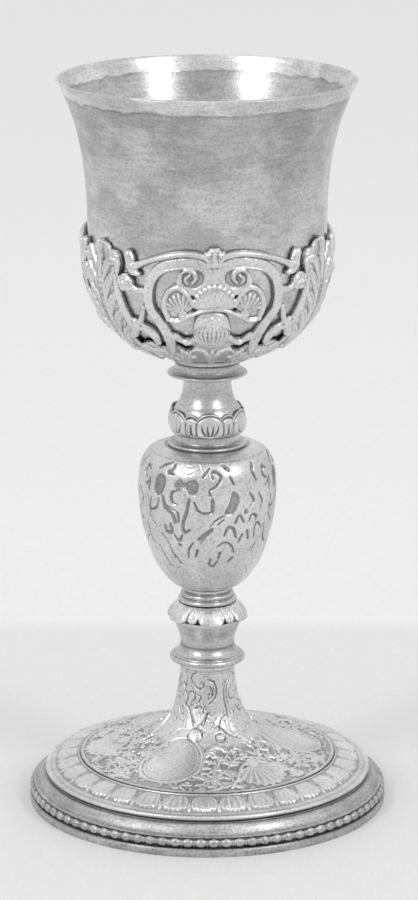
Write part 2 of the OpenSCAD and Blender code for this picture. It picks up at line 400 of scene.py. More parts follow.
def pierced_solid(name, wall, thickness):
    """The wall as an open-work shell: cells outside the gap field are left out."""
    gap = wall.gap
    centre = (gap[:-1] + gap[1:] + np.roll(gap, -1, 1)[:-1] + np.roll(gap, -1, 1)[1:]) / 4
    keep = centre > 0
    # cells that would touch only at a corner get a neighbour
    for _ in range(3):
        right = np.roll(keep, -1, 1)
        bad = (keep[:-1] & right[1:] & ~right[:-1] & ~keep[1:])
        keep[1:][bad] = True
        right = np.roll(keep, -1, 1)
        bad = (~keep[:-1] & ~right[1:] & right[:-1] & keep[1:])
        keep[:-1][bad] = True
    # points on the border of the metal move onto the line where the gap field is 0
    touch_in, touch_out = np.zeros(gap.shape, bool), np.zeros(gap.shape, bool)
    for cells, mark in ((keep, touch_in), (~keep, touch_out)):
        both = cells | np.roll(cells, 1, 1)
        mark[:-1] |= both
        mark[1:] |= both
    ds = np.gradient(gap, axis=0) / np.gradient(wall.s)[:, None]
    dx = (np.roll(gap, -1, 1) - np.roll(gap, 1, 1)) / (2 * wall.dphi * wall.r[:, None])
    size = np.maximum(ds ** 2 + dx ** 2, 0.2)
    cell = wall.s[1] - wall.s[0]
    shift = np.clip(-gap, -cell, cell) / size * (touch_in & touch_out)
    s = np.clip(wall.s[:, None] + shift * ds, 0, wall.s[-1])
    phi = wall.phi[None, :] + shift * dx / wall.r[:, None]

    def place(h):
        r = np.interp(s, wall.s, wall.r) + np.interp(s, wall.s, wall.nr) * h
        z = np.interp(s, wall.s, wall.z) + np.interp(s, wall.s, wall.nz) * h
        return round_axis(r, z, phi).reshape(-1, 3)

    co = np.vstack([place(wall.h), place(np.full_like(wall.h, -thickness))])
    rows, n = gap.shape
    m = rows * n
    i, j = np.nonzero(keep)
    j2 = (j + 1) % n
    a, b, c, d = i * n + j, i * n + j2, (i + 1) * n + j2, (i + 1) * n + j
    quads = [np.column_stack([a, b, c, d]), np.column_stack([d, c, b, a]) + m]
    # walls between the outer and the inner side, round every opening
    pad = np.pad(keep, ((1, 1), (0, 0)))
    left = np.roll(keep, 1, 1)
    for first, second, flip in ((pad[:-1], pad[1:], False), (pad[1:], pad[:-1], True)):
        i, j = np.nonzero(~first & second)
        p, q = i * n + j, i * n + (j + 1) % n
        quads.append(np.column_stack([p, q, q + m, p + m] if flip else [q, p, p + m, q + m]))
    for first, second, flip in ((left, keep, False), (keep, left, True)):
        i, j = np.nonzero(~first & second)
        p, q = i * n + j, (i + 1) * n + j
        quads.append(np.column_stack([q, p, p + m, q + m] if flip else [p, q, q + m, p + m]))
    used, renumbered = np.unique(np.vstack(quads), return_inverse=True)
    # painted shade: the inner side, and with it the walls round every opening, gets the dark tone 0.2
    tone = np.r_[np.clip(relief_shade_tone(wall.h), 0, 1).ravel(), np.full(m, 0.2)]
    return write_mesh(name, co[used], renumbered.reshape(-1, 4), tone[used])


def thin_out(piece):
    """Brings a dense mesh down to about the most triangles that a piece may have."""
    count = sum(len(p.vertices) - 2 for p in piece.data.polygons)
    if count > MOST_TRIANGLES:
        cut = piece.modifiers.new("thin", "DECIMATE")
        cut.ratio = MOST_TRIANGLES / count
        cut.use_collapse_triangulate = True
        ready = piece.evaluated_get(bpy.context.evaluated_depsgraph_get())
        mesh = bpy.data.meshes.new_from_object(ready)
        piece.modifiers.clear()
        piece.data = mesh
    return piece


def finish_piece(piece, material, node):
    """Gives a piece its metal and its place in the frame, instead of the CAD node."""
    piece.data.materials.clear()
    piece.data.materials.append(material)
    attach(piece, "root")
    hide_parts(node)


# ---------------------------------------------------------------- sizes from the CAD frame

def extent(node):
    """A CAD node's lowest and highest z and its reach in x, in mm."""
    lowest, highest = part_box(node)
    return lowest[2] / MM, highest[2] / MM, highest[0] / MM


BORE = 3.5
_, LIP, LIP_RADIUS = extent("cup")
_, FOOT_TOP, FOOT_RADIUS = extent("foot")


# ---------------------------------------------------------------- materials

def shader(name):
    """A new material with its node tree and its Principled node."""
    material = bpy.data.materials.new(name)
    material.use_nodes = True
    tree = material.node_tree
    for node in list(tree.nodes):
        if node.type not in {"BSDF_PRINCIPLED", "OUTPUT_MATERIAL"}:
            tree.nodes.remove(node)
    return material, tree, tree.nodes["Principled BSDF"]


def add(tree, kind, inputs=None, **settings):
    """A new node with its settings, and with its inputs set or linked."""
    node = tree.nodes.new(kind)
    for key, value in settings.items():
        setattr(node, key, value)
    for key, value in (inputs or {}).items():
        if isinstance(value, bpy.types.NodeSocket):
            tree.links.new(value, node.inputs[key])
        else:
            node.inputs[key].default_value = value
    return node


def ramp(tree, value, stops):
    """A grey ramp through (position, grey) stops."""
    node = add(tree, "ShaderNodeValToRGB", {"Fac": value})
    element = node.color_ramp.elements
    while len(element) < len(stops):
        element.new(0.5)
    for e, (at, grey) in zip(element, stops):
        e.position = at
        e.color = (grey, grey, grey, 1)
    return node.outputs["Color"]


def noise(tree, place, size_mm, detail, stretch=(1, 1, 1), rough=0.5):
    """Noise whose features are about size_mm across, squeezed by stretch."""
    scale = tuple(v / (size_mm * MM) for v in stretch)
    spread = add(tree, "ShaderNodeMapping", {"Vector": place, "Scale": scale}).outputs[0]
    return add(tree, "ShaderNodeTexNoise", {"Vector": spread, "Scale": 1.0, "Detail": detail,
                                            "Roughness": rough}).outputs["Fac"]


def times(tree, a, b):
    """Two colours multiplied."""
    return add(tree, "ShaderNodeMix", {"Factor": 1.0, 6: a, 7: b}, data_type="RGBA",
               blend_type="MULTIPLY").outputs[2]


def silver(name, grey, rough, wear, relief=True, crevice_shade=0.2, scratches=0.0, extra=None):
    """Old silver: uneven reflectance, pits, fine scratches round the axis, and painted shade in the
    recesses.
    """
    material, tree, bsdf = shader(name)
    place = add(tree, "ShaderNodeTexCoord").outputs["Object"]
    clouds = noise(tree, place, 14, 6)
    grain = noise(tree, place, 0.75, 3)
    colour = ramp(tree, clouds, [(0.3, grey * (1 - wear)), (0.7, grey)])
    colour = times(tree, colour, ramp(tree, grain, [(0.32, 1 - wear * 1.25), (0.53, 1.0)]))
    if scratches:
        marks = noise(tree, place, 3, 5, (0.4, 0.4, 3.2))
        colour = times(tree, colour, ramp(tree, marks, [(0.36, 1 - scratches), (0.56, 1.0)]))
    if relief:
        # painted shade from the relief attribute: the deepest recess goes down to crevice_shade, the
        # highest relief is a little lighter
        height = add(tree, "ShaderNodeAttribute", attribute_name="relief").outputs["Fac"]
        stops = [(0.0, crevice_shade), (0.3, (1 + crevice_shade) / 2.4), (0.47, 0.93), (1.0, 1.0)]
        colour = times(tree, colour, ramp(tree, height, stops))
    if extra:
        colour = extra(tree, place, colour)
    tree.links.new(colour, bsdf.inputs["Base Color"])
    bsdf.inputs["Metallic"].default_value = 1.0
    tree.links.new(ramp(tree, clouds, [(0.3, rough + 0.1), (0.7, rough)]), bsdf.inputs["Roughness"])
    fine = add(tree, "ShaderNodeBump", {"Height": grain, "Strength": 0.2, "Distance": 0.0002})
    tree.links.new(fine.outputs[0], bsdf.inputs["Normal"])
    return material


# ---------------------------------------------------------------- ornament

def egg_and_dart(wall):
    """Rounded tongues with small darts between them, all round the foot's wire."""
    count = 88
    middle = wall.s[-1] * 0.52
    place = (wall.phi / (TURN / count)) % 1.0
    across = np.abs(place - 0.5) * 2
    up = (wall.s[:, None] - middle) / (wall.s[-1] * 0.36)
    egg = 1 - (across[None, :] / 0.74) ** 2 - up ** 2
    ring = 1 - (across[None, :] / 0.93) ** 2 - (up / 1.2) ** 2
    dart = 1 - ((1 - across[None, :]) / 0.13) ** 2 - (up + 0.25) ** 2
    wall.h -= 0.32
    wall.h = np.maximum(wall.h, -0.05 - 0.27 * (ring < 0))
    wall.h = np.where((ring > 0) & (egg < 0), -0.1, wall.h)
    wall.h = np.where(egg > 0, -0.1 + 0.5 * np.sqrt(np.clip(egg, 0, 1)), wall.h)
    wall.h = np.where(dart > 0, 0.22 * np.sqrt(np.clip(dart, 0, 1)) - 0.1, wall.h)
    edge = np.clip(np.minimum(wall.s, wall.s[-1] - wall.s) / 0.5, 0, 1)[:, None]
    wall.h *= edge


def carve_skirt(wall):
    """Six broad plain lobes with a narrow ribbed leaf between each pair."""
    top = wall.s[-1]
    u = (wall.s / top)[:, None]
    for i in range(6):
        centre = 6.5 + 60 * i
        for deg, half, tip, height in ((centre, 22, 0.1, 0.6), (centre + 30, 9.5, 0.7, 0.42)):
            a = wall.turn_from(deg) / math.radians(half)
            q = np.clip(a[None, :] / (1 - 0.15 * u), 0, 1)
            swell = np.sqrt(np.clip(1 - q ** 5, 0, 1)) * np.clip((1 - u) / 0.6, 0, 1)
            wall.h = np.maximum(wall.h, height * swell)
            over = wall.s[:, None] - (tip + 1.9 * q ** 4)
            wall.gap = np.where(a[None, :] < 1.04, np.minimum(wall.gap, over), wall.gap)
        wall.carved(centre + 30, 0, smooth([(0, 0.4), (0, top * 0.8)], 0.3), (0.3, 0.14), 0.5)
        for side in (1, -1):
            wall.carved(centre + 30, 0, smooth([(1.0, 0.8), (0.5, top * 0.6)], 0.3), (0.24, 0.12), 0.4,
                        side)
            fold = smooth([(4.3, 0.6), (3.4, top * 0.5), (2.3, top * 0.8)], 0.3)
            wall.carved(centre, 0, fold, (0.26, 0.2, 0.1), 0.3, side)
        wall.carved(centre + 21, 0, smooth([(0, 0), (0, top * 0.75)], 0.3), (0.4, 0.2), 0.8)


def carve_upper_ring(wall):
    """Six arched leaves with double outlines, and smaller ones behind in the gaps."""
    top = wall.s[-1]
    unit = wall.radius(top * 0.5)
    foot = 1.3
    reach = []
    wall.h -= 0.3 * np.clip((wall.s - foot) / 0.4, 0, 1)[:, None]
    for shift, half, tip, height in ((30, 15, 0.9, 0.1), (0, 25, 0.2, 0.6)):
        for i in range(6):
            deg = 4.5 + shift + 60 * i
            a = wall.turn_from(deg) * unit
            w = math.radians(half) * unit
            arch = np.where(a < w, top - tip - w + np.sqrt(np.clip(w * w - a * a, 0, None)), -FAR)
            over = arch[None, :] - wall.s[:, None]
            inside = np.minimum(over, (w - a)[None, :])
            body = np.clip(inside / 0.3, 0, 1) * (0.55 + 0.45 * np.clip(inside / w, 0, 1))
            leaf = -0.3 + (height + 0.3) * body
            leaf -= 0.7 * np.exp(-((inside - 0.85) / 0.26) ** 2) * (wall.s[:, None] > foot)
            wall.h = np.where((inside > 0) & (wall.s[:, None] > foot), leaf, wall.h)
            reach.append(over)
            for lean in (-2.3, -0.8, 0.8, 2.3) if shift == 0 else (0,):
                rib = smooth([(lean * 0.55, top * 0.2), (lean * 0.9, top * 0.42), (lean, top * 0.62)],
                             0.3)
                wall.carved(deg, 0, rib, (0.55, 0.4, 0.12), 0.85)
    wall.gap = np.minimum(wall.gap, np.maximum.reduce(reach))


def laid_flat(wall, s0, rise, points):
    """Points (degrees, height or radius) in mm across and along the wall from s0 on it."""
    unit = wall.radius(s0)
    return [(math.radians(a) * unit, rise(v) - s0) for a, v in points]


def strokes_on(wall, deg, s0, rise, strokes, cut):
    """Cuts or lifts strokes given as (half-width, points)."""
    for width, points in strokes:
        path = smooth(laid_flat(wall, s0, rise, points), 0.3)
        taper = (width * 0.7, width, width, width * 0.7) if len(points) > 2 else (width, width)
        cut(deg, s0, path, taper)


def small_curls(wall, start, end, spacing, draw):
    """Little C-scrolls scattered over the arc lengths from start to end, as filling."""
    for s in np.arange(start, end, spacing * 0.85):
        count = int(TURN * wall.radius(s) / spacing)
        for k in range(count):
            deg = (k + rng.uniform(-0.3, 0.3)) * 360 / count
            at = s + rng.uniform(-0.25, 0.25) * spacing
            bend = rng.choice((-1, 1)) * rng.uniform(0.9, 1.5)
            draw(deg, at, curl(rng.uniform(0, 360), spacing * 0.9, bend))


def engrave_knop(wall):
    """Broad plain straps between matted recesses, foliage and little arches, three times round."""
    s0 = wall.s_at(100)
    recesses = [
        [(22, 110), (28, 107.5), (25, 104), (21, 102), (14, 102.5), (18, 106)],
        [(4, 98), (-2, 96.5), (-9, 94), (-6, 93.2), (0, 94.6), (6, 97)],
        [(-29, 112), (-24, 114), (-19, 113), (-12, 114), (-7, 112.5), (-9, 109), (-15, 109), (-20, 111),
         (-25, 109.5)],
        [(-49, 113), (-43, 114.7), (-37, 113), (-40, 108.5), (-48, 107.5)],
        [(3, 107.8), (6, 107.6), (6, 103.4), (3, 103.4)],
    ]
    strokes = [
        (0.32, [(14, 102), (8, 100.6), (3, 98.6)]), (0.26, [(9, 99), (14, 100.6)]),
        (0.3, [(-13, 92.4), (-17, 90), (-18, 87)]), (0.3, [(-9, 90), (-11, 87.5)]),
        (0.2, [(-6, 92.5), (-2, 94)]),
        (0.28, [(-57, 100), (-49, 96.5)]), (0.24, [(-43, 94.5), (-36, 91)]),
        (0.28, [(-32, 87.5), (-27, 84.5)]),
        (0.28, [(-36, 90), (-33, 86.5)]),
        (0.3, [(2, 117.5), (-4, 114.5)]),
        (0.42, [(5, 114), (4, 116), (7, 116.4), (12, 114.5), (8, 112), (2, 110.5), (3, 108.6)]),
        (0.42, [(-11, 106.5), (-7, 103.5), (0, 102.8), (4, 103.5)]),
        (0.5, [(-15, 107.5), (-17.5, 103), (-21, 99), (-20, 96), (-15, 97)]),
        (0.62, [(-40, 107.5), (-37, 104), (-30, 101.5), (-28, 99)]),
        (0.42, [(-24, 110), (-31, 109), (-30, 106), (-26, 105.4)]),
        (0.28, [(-35, 104.5), (-25, 102.6)]),
        (0.4, [(-25, 102), (-25, 99.5)]),
        (0.5, [(-39, 97.6), (-37, 95.4), (-32, 96), (-33, 98.6)]),
        (0.38, [(-30, 95), (-26, 92.8), (-22, 95)]),
        (0.4, [(-26, 91.5), (-24.5, 91.3)]), (0.34, [(-44, 106.5), (-47, 103.3), (-54, 102),
                                                     (-58, 103)]),
        (0.45, [(15, 95), (18, 97.6), (23, 97), (26, 94)]), (0.4, [(24, 99), (28, 101.5), (33, 99)]),
        (0.45, [(34, 103), (34, 102)]), (0.4, [(37, 98.8), (41, 101), (46, 100.2), (44, 98.6)]),
        (0.38, [(29, 92.5), (32, 94.8)]), (0.38, [(37, 96), (39, 93)]),
        (0.34, [(46, 93), (45, 96.5), (48, 98), (54, 96)]),
        (0.28, [(56, 92.5), (49, 90.5), (46, 88)]),
        (0.32, [(9, 91.2), (15, 92.5), (22, 91.4), (26, 88.5)]), (0.34, [(25, 87), (21, 85.4)]),
        (0.4, [(3, 86.8), (2, 84.8), (6, 84), (10, 86)]), (0.36, [(12, 89), (11, 87)]),
        (0.45, [(46, 118), (43, 115.4), (46, 112)]), (0.45, [(62, 115), (57, 116), (55, 113.6),
                                                             (60, 112)]),
        (0.36, [(58, 110), (64, 111.5)]), (0.4, [(-47, 116), (-41, 117.5), (-34, 118.4)]),
        (0.42, [(-31, 118), (-32, 116.4), (-36, 115.4), (-30, 115)]),
        (0.42, [(-56, 112), (-57, 108.5)]),
        (0.5, [(15, 118), (19, 116.8)]), (0.34, [(20, 114.4), (23, 112)]),
        (0.3, [(66, 106), (64, 101)]),
        (0.34, [(-62, 97), (-60, 92), (-54, 90)]), (0.3, [(-50, 90), (-45, 86), (-40, 83)]),
        (0.42, [(48, 108), (52, 105), (50, 102.6)]), (0.4, [(38, 108.5), (42, 106), (39, 104.4)]),
    ]
    lines = [
        (0.2, [(-25, 116.6), (-16, 115.3), (-7, 117), (-9, 118.4), (-14, 117.6), (-22, 117.4),
               (-25, 116.6)]),
        (0.16, [(34, 116), (24, 111), (12, 105), (-2, 99.5), (-16, 95)]),
        (0.16, [(40, 111), (28, 102), (12, 97), (-2, 92.5), (-12, 86)]),
        (0.16, [(-60, 103), (-48, 99), (-38, 95), (-24, 88), (-14, 83)]),
        (0.2, [(-12, 82), (-4, 78.5), (10, 76)]), (0.2, [(10, 78), (20, 80), (30, 79), (26, 76.8)]),
        (0.2, [(-40, 80), (-30, 83), (-22, 80), (-26, 77.6)]),
        (0.2, [(36, 84), (46, 82), (52, 79), (44, 78)]),
        (0.18, [(-52, 84), (-46, 80), (-40, 77)]), (0.2, [(0, 80.5), (6, 82.5), (14, 82), (12, 79.6)]),
    ]
    for axis in THIRDS:
        for points in recesses:
            wall.recess(axis, s0, laid_flat(wall, s0, wall.s_at, points), 0.5)
        strokes_on(wall, axis, s0, wall.s_at, strokes,
                   lambda d, s, path, w: wall.sunk(d, s, path, tuple(1.45 * v for v in w), 0.5))
        strokes_on(wall, axis, s0, wall.s_at, lines,
                   lambda d, s, path, w: wall.carved(d, s, path, w, 0.22))
    small_curls(wall, wall.s_at(76), wall.s_at(118), 4.2,
                lambda d, s, path: wall.carved(d, s, path, (0.16, 0.28, 0.16), 0.15))
    for z in (74.6, 119.0):
        groove = np.exp(-((wall.s - wall.s_at(z)) / 0.22) ** 2)
        wall.h -= 0.2 * groove[:, None]
    mat = rng.normal(0, 0.07, wall.h.shape)
    wall.h += np.where(wall.h < -0.4, mat, 0)


def plan_oval(deg, r, half_out, half_round):
    """An oval laid on the foot as seen from above: (degrees, radius) points round its edge."""
    points = []
    for t in np.linspace(0, TURN, 28, endpoint=False):
        out, across = r + half_out * math.cos(t), half_round * math.sin(t)
        points.append((deg + math.degrees(math.atan2(across, out)), math.hypot(out, across)))
    return points


def sprig(wall, deg, s, path, width, ground):
    """A scrolling stem with small leaves along it, first on one side and then on the other."""
    wall.raised(deg, s, path, (width * 0.6, width, width * 0.9, width * 0.5), 0.22, ground=ground)
    wall.raised(deg, s, path[-2:], (width * 1.7,), 0.26, ground=ground)
    step = headings(path)
    side = 1
    for k in range(6, len(path) - 5, 7):
        out = np.array([-step[k][1], step[k][0]]) * side
        tip = path[k] + step[k] * 1.6 + out * 1.9
        mid = path[k] + step[k] * 0.4 + out * 1.2
        wall.raised(deg, s, smooth([path[k], mid, tip], 0.25), (0.3, 0.62, 0.2), 0.2, ground=ground)
        side = -side


def engrave_dome(wall):
    """Three plain oval cartouches and three shells among scrollwork, rising up the trumpet."""
    def inward(r):
        return float(np.interp(-r, -wall.r[wall.z < 46], wall.s[wall.z < 46]))

    s0 = inward(28)
    ground = -0.3
    field = np.clip((wall.s - inward(41.2)) / 0.4, 0, 1) * np.clip((wall.s_at(23.4) - wall.s) / 3, 0, 1)
    wall.h += ground * field[:, None]
    small_curls(wall, inward(40.4), inward(15), 3.3,
                lambda d, s, path: wall.raised(d, s, path, (0.2, 0.42, 0.36), 0.08, ground=ground))
    small_curls(wall, wall.s_at(26), wall.s_at(44), 3.0,
                lambda d, s, path: wall.carved(d, s, path, (0.18, 0.3, 0.18), 0.3))

    scrolls = [
        (0.8, [(-8, 40.2), (0, 40.9), (6.5, 39), (5.5, 35.6), (0, 35), (-2, 37.4), (2, 38.2)]),
        (0.8, [(12, 39.6), (14, 35), (11, 30.4), (5, 28.5), (0.5, 31), (4, 33.2), (7, 31.6)]),
        (0.75, [(6, 27.5), (9, 24), (5, 20.6), (-2, 21), (-3, 24), (2, 24.4)]),
        (0.75, [(14, 28), (20, 24.8), (28, 23.6), (36, 24.6)]),
        (0.7, [(16, 22), (24, 19.8), (32, 20.6), (30, 22.4)]),
        (0.8, [(52, 40.6), (60, 41), (66, 39), (66, 35.4), (60, 34), (57, 36.4), (61, 37.6)]),
        (0.9, [(49, 36.8), (48, 32), (53, 28.8), (61, 28.8), (62, 32), (56, 32.6)]),
        (0.8, [(68, 40.4), (75, 38.6), (77, 34.4), (72, 31), (68, 33.4), (71, 35)]),
        (0.8, [(62, 27), (67, 23.4), (62, 20), (54, 19.4), (51, 22.4), (56, 23.6)]),
        (0.7, [(38, 25), (44, 22), (46, 18.4), (41, 16.8)]),
        (0.7, [(-52, 40.8), (-47, 40), (-44, 37.4), (-48, 35.6), (-51, 37.6)]),
        (0.7, [(72, 27.6), (78, 24), (80, 20), (74, 18)]),
        (0.7, [(-10, 41), (-13, 38.4), (-10, 36.4)]), (0.7, [(44, 27), (42, 24.4), (46, 23)]),
    ]
    leaves = [
        ([(2, 34.6), (-4, 32.6), (-9, 33)], 1.1), ([(7, 36), (12, 37.6), (17, 40.2)], 1.0),
        ([(9, 29), (15, 30.6), (19, 33.6)], 1.1),
        ([(2, 28), (-3, 27), (-8, 24.4)], 1.0), ([(60, 33.4), (66, 31.8), (71, 28.6)], 1.2),
        ([(53, 28), (48, 26), (46, 29)], 1.0),
        ([(62, 26), (70, 25.4), (76, 28)], 1.1), ([(50, 40), (48, 38.6), (46, 36.6)], 1.0),
        ([(12, 22.6), (16, 26), (22, 27)], 0.9),
        ([(56, 31), (58, 28.6), (64, 27.8)], 0.8), ([(66, 38), (72, 37), (75, 40.6)], 0.9),
        ([(0, 20), (8, 18.4), (16, 19.6)], 1.0),
    ]
    lines = [
        (0.22, [(-24.5, 45), (-36, 43), (-27, 40.5), (-15, 39.5), (-7, 40.5), (-11, 42)]),
        (0.24, [(-1, 42.7), (13, 41.8), (18.5, 39.5), (15, 36.5), (3.5, 34.5)]),
        (0.2, [(4, 40.6), (10, 39), (9, 37), (2, 36.2)]),
        (0.24, [(50, 43), (36, 39.5), (34, 36), (36, 32.5), (36, 29.5)]),
        (0.2, [(56, 43), (42, 39.4), (40, 36), (42, 33)]),
        (0.24, [(55, 40.4), (47, 38), (47, 36), (59, 35)]),
        (0.24, [(-40, 37.6), (-30, 38.4), (-24, 36.4), (-31, 35)]),
        (0.2, [(-20, 37.6), (-12, 37), (-16, 35.2)]),
        (0.26, [(-46, 34), (-36, 33), (-30, 31)]), (0.26, [(-22, 33), (-14, 33.8), (-6, 32)]),
        (0.22, [(-18, 31.6), (-10, 30), (-8, 28)]), (0.22, [(-28, 30.6), (-24, 28.8), (-20, 27.6)]),
        (0.22, [(0, 31.6), (-3, 29.6), (-6, 28)]), (0.24, [(66, 44), (74, 42), (70, 39.6), (64, 41)]),
        (0.22, [(72, 38), (80, 36), (76, 33.6)]), (0.24, [(60, 33), (68, 31), (76, 30.4)]),
        (0.24, [(10, 27.4), (18, 27.6), (28, 25.4), (40, 24)]),
        (0.22, [(24, 30), (20, 28.6), (16, 26.6)]),
    ]
    for axis in THIRDS:
        strokes_on(wall, axis, s0, inward, scrolls,
                   lambda d, s, path, w: sprig(wall, d, s, path, w[1] * 0.7, ground))
        for points, width in leaves:
            wall.leaf(axis, s0, smooth(laid_flat(wall, s0, inward, points), 0.3), width, 0.3)
        oval = laid_flat(wall, s0, inward, plan_oval(-26, 26.5, 10.2, 9.2))
        index, d = wall.inside(axis, s0, oval)
        border = 1.7
        frame_h = 0.16 * np.exp(-((d - 0.75) / 0.4) ** 2)
        near = np.where(d > 0, ground * np.clip((d - 1.3) / 0.4, 0, 1) + frame_h, 0.0)
        over = np.maximum(near, np.where(d > 1.4, wall.h[index], -FAR))
        wall.h[index] = np.where(d < border, over, wall.h[index])
        wall.h[index] -= 0.22 * np.exp(-(d / 0.2) ** 2) + 0.16 * np.exp(-((d + 1.1) / 0.16) ** 2)
        wall.shell(axis + 32, inward(27.4), 13.6, 11, 0.5, tilt=180)
        arch = ((12, 39.4), (17, 34), (23, 28.4), (32, 26), (41, 28.4), (47, 34), (52, 39.4))
        hinge = smooth(laid_flat(wall, s0, inward, arch), 0.3)
        wall.raised(axis, s0, hinge, (0.5, 0.7, 0.8, 0.7, 0.5), 0.4, ground=ground)
        strokes_on(wall, axis, wall.s_at(36), wall.s_at, lines,
                   lambda d, s, path, w: wall.carved(d, s, path, tuple(1.5 * v for v in w), 0.42))
        for deg, z, r in ((-16, 25.4, 2.3), (16, 24.8, 1.5)):
            spot = wall.s_at(z)
            wall.rosette(axis + deg, spot, r, 1, 0.9)
            ring = [(r * 1.1 * math.cos(t), r * 1.1 * math.sin(t)) for t in np.linspace(0, TURN, 20)]
            wall.carved(axis + deg, spot, smooth(ring, 0.3), (0.24,), 0.4)
        drop = smooth([(0, 3.8), (0.2, 1), (1.0, -2.4), (2.4, -5.4)], 0.3)
        wall.raised(axis + 38, wall.s_at(25.5), drop, (0.35, 0.9, 0.9, 0.3), 0.6)
        for lean in (-34, -12, 12, 34):
            a, start, length = math.radians(lean), 2.8, 5.2
            ray = smooth([(0, start), (math.sin(a) * length, start + math.cos(a) * length)], 0.3)
            wall.raised(axis - 14, wall.s_at(26), ray, (0.4, 0.75, 0.3), 0.5)
    for z in (45.2, 44.4):
        wall.h -= 0.2 * np.exp(-((wall.s - wall.s_at(z)) / 0.2) ** 2)[:, None]
    mat = rng.normal(0, 0.035, wall.h.shape)
    wall.h += np.where((wall.h < ground + 0.05) & (wall.r[:, None] > 14), mat, 0)


def engrave_border(wall):
    """A band of ribbed acanthus fans pointing outwards, with a dart between each pair."""
    count = 32
    inner, outer = 43.3, 50.4

    def outward(r):
        rows = (wall.r < 51) & (wall.z > 11.8)
        return float(np.interp(-r, -wall.r[rows], wall.s[rows]))

    low_s, high_s = outward(outer + 0.3), outward(inner - 0.3)
    u = np.clip((high_s - wall.s) / (high_s - low_s), 0, 1)[:, None]
    across = ((wall.phi * count / TURN - 0.4) % 1.0)[None, :] * 2 - 1
    half = 0.5 + 0.42 * np.sin(np.pi * np.clip(u * 0.75 + 0.12, 0, 1))
    q = across / half
    tip = 0.95 - 0.2 * np.abs(q) ** 3 - 0.07 * (1 - np.abs(np.cos(2.5 * math.pi * q)))
    ribs = 0.5 + 0.5 * np.cos(5 * math.pi * q * (1 - 0.25 * u))
    inside = np.clip(np.minimum((1 - np.abs(q)) * 6, (tip - u) * 14), 0, 1)
    swell = (0.3 + 0.5 * u) * (0.45 + 0.55 * ribs)
    ground = -0.24
    gap = 1 - np.abs(across)
    dart = np.clip(1 - (gap / 0.13) ** 2 - ((u - 0.72) / 0.26) ** 2, 0, 1)
    vein = np.exp(-(q / 0.1) ** 2) * np.clip(1 - u, 0, 1)
    relief = ground + inside * (0.18 + 0.5 * swell - 0.18 * vein)
    relief = np.maximum(relief, ground + 0.4 * np.sqrt(dart))
    field = np.clip((wall.s - low_s) / 0.4, 0, 1) * np.clip((high_s - wall.s) / 0.4, 0, 1)
    wall.h = relief * field[:, None]


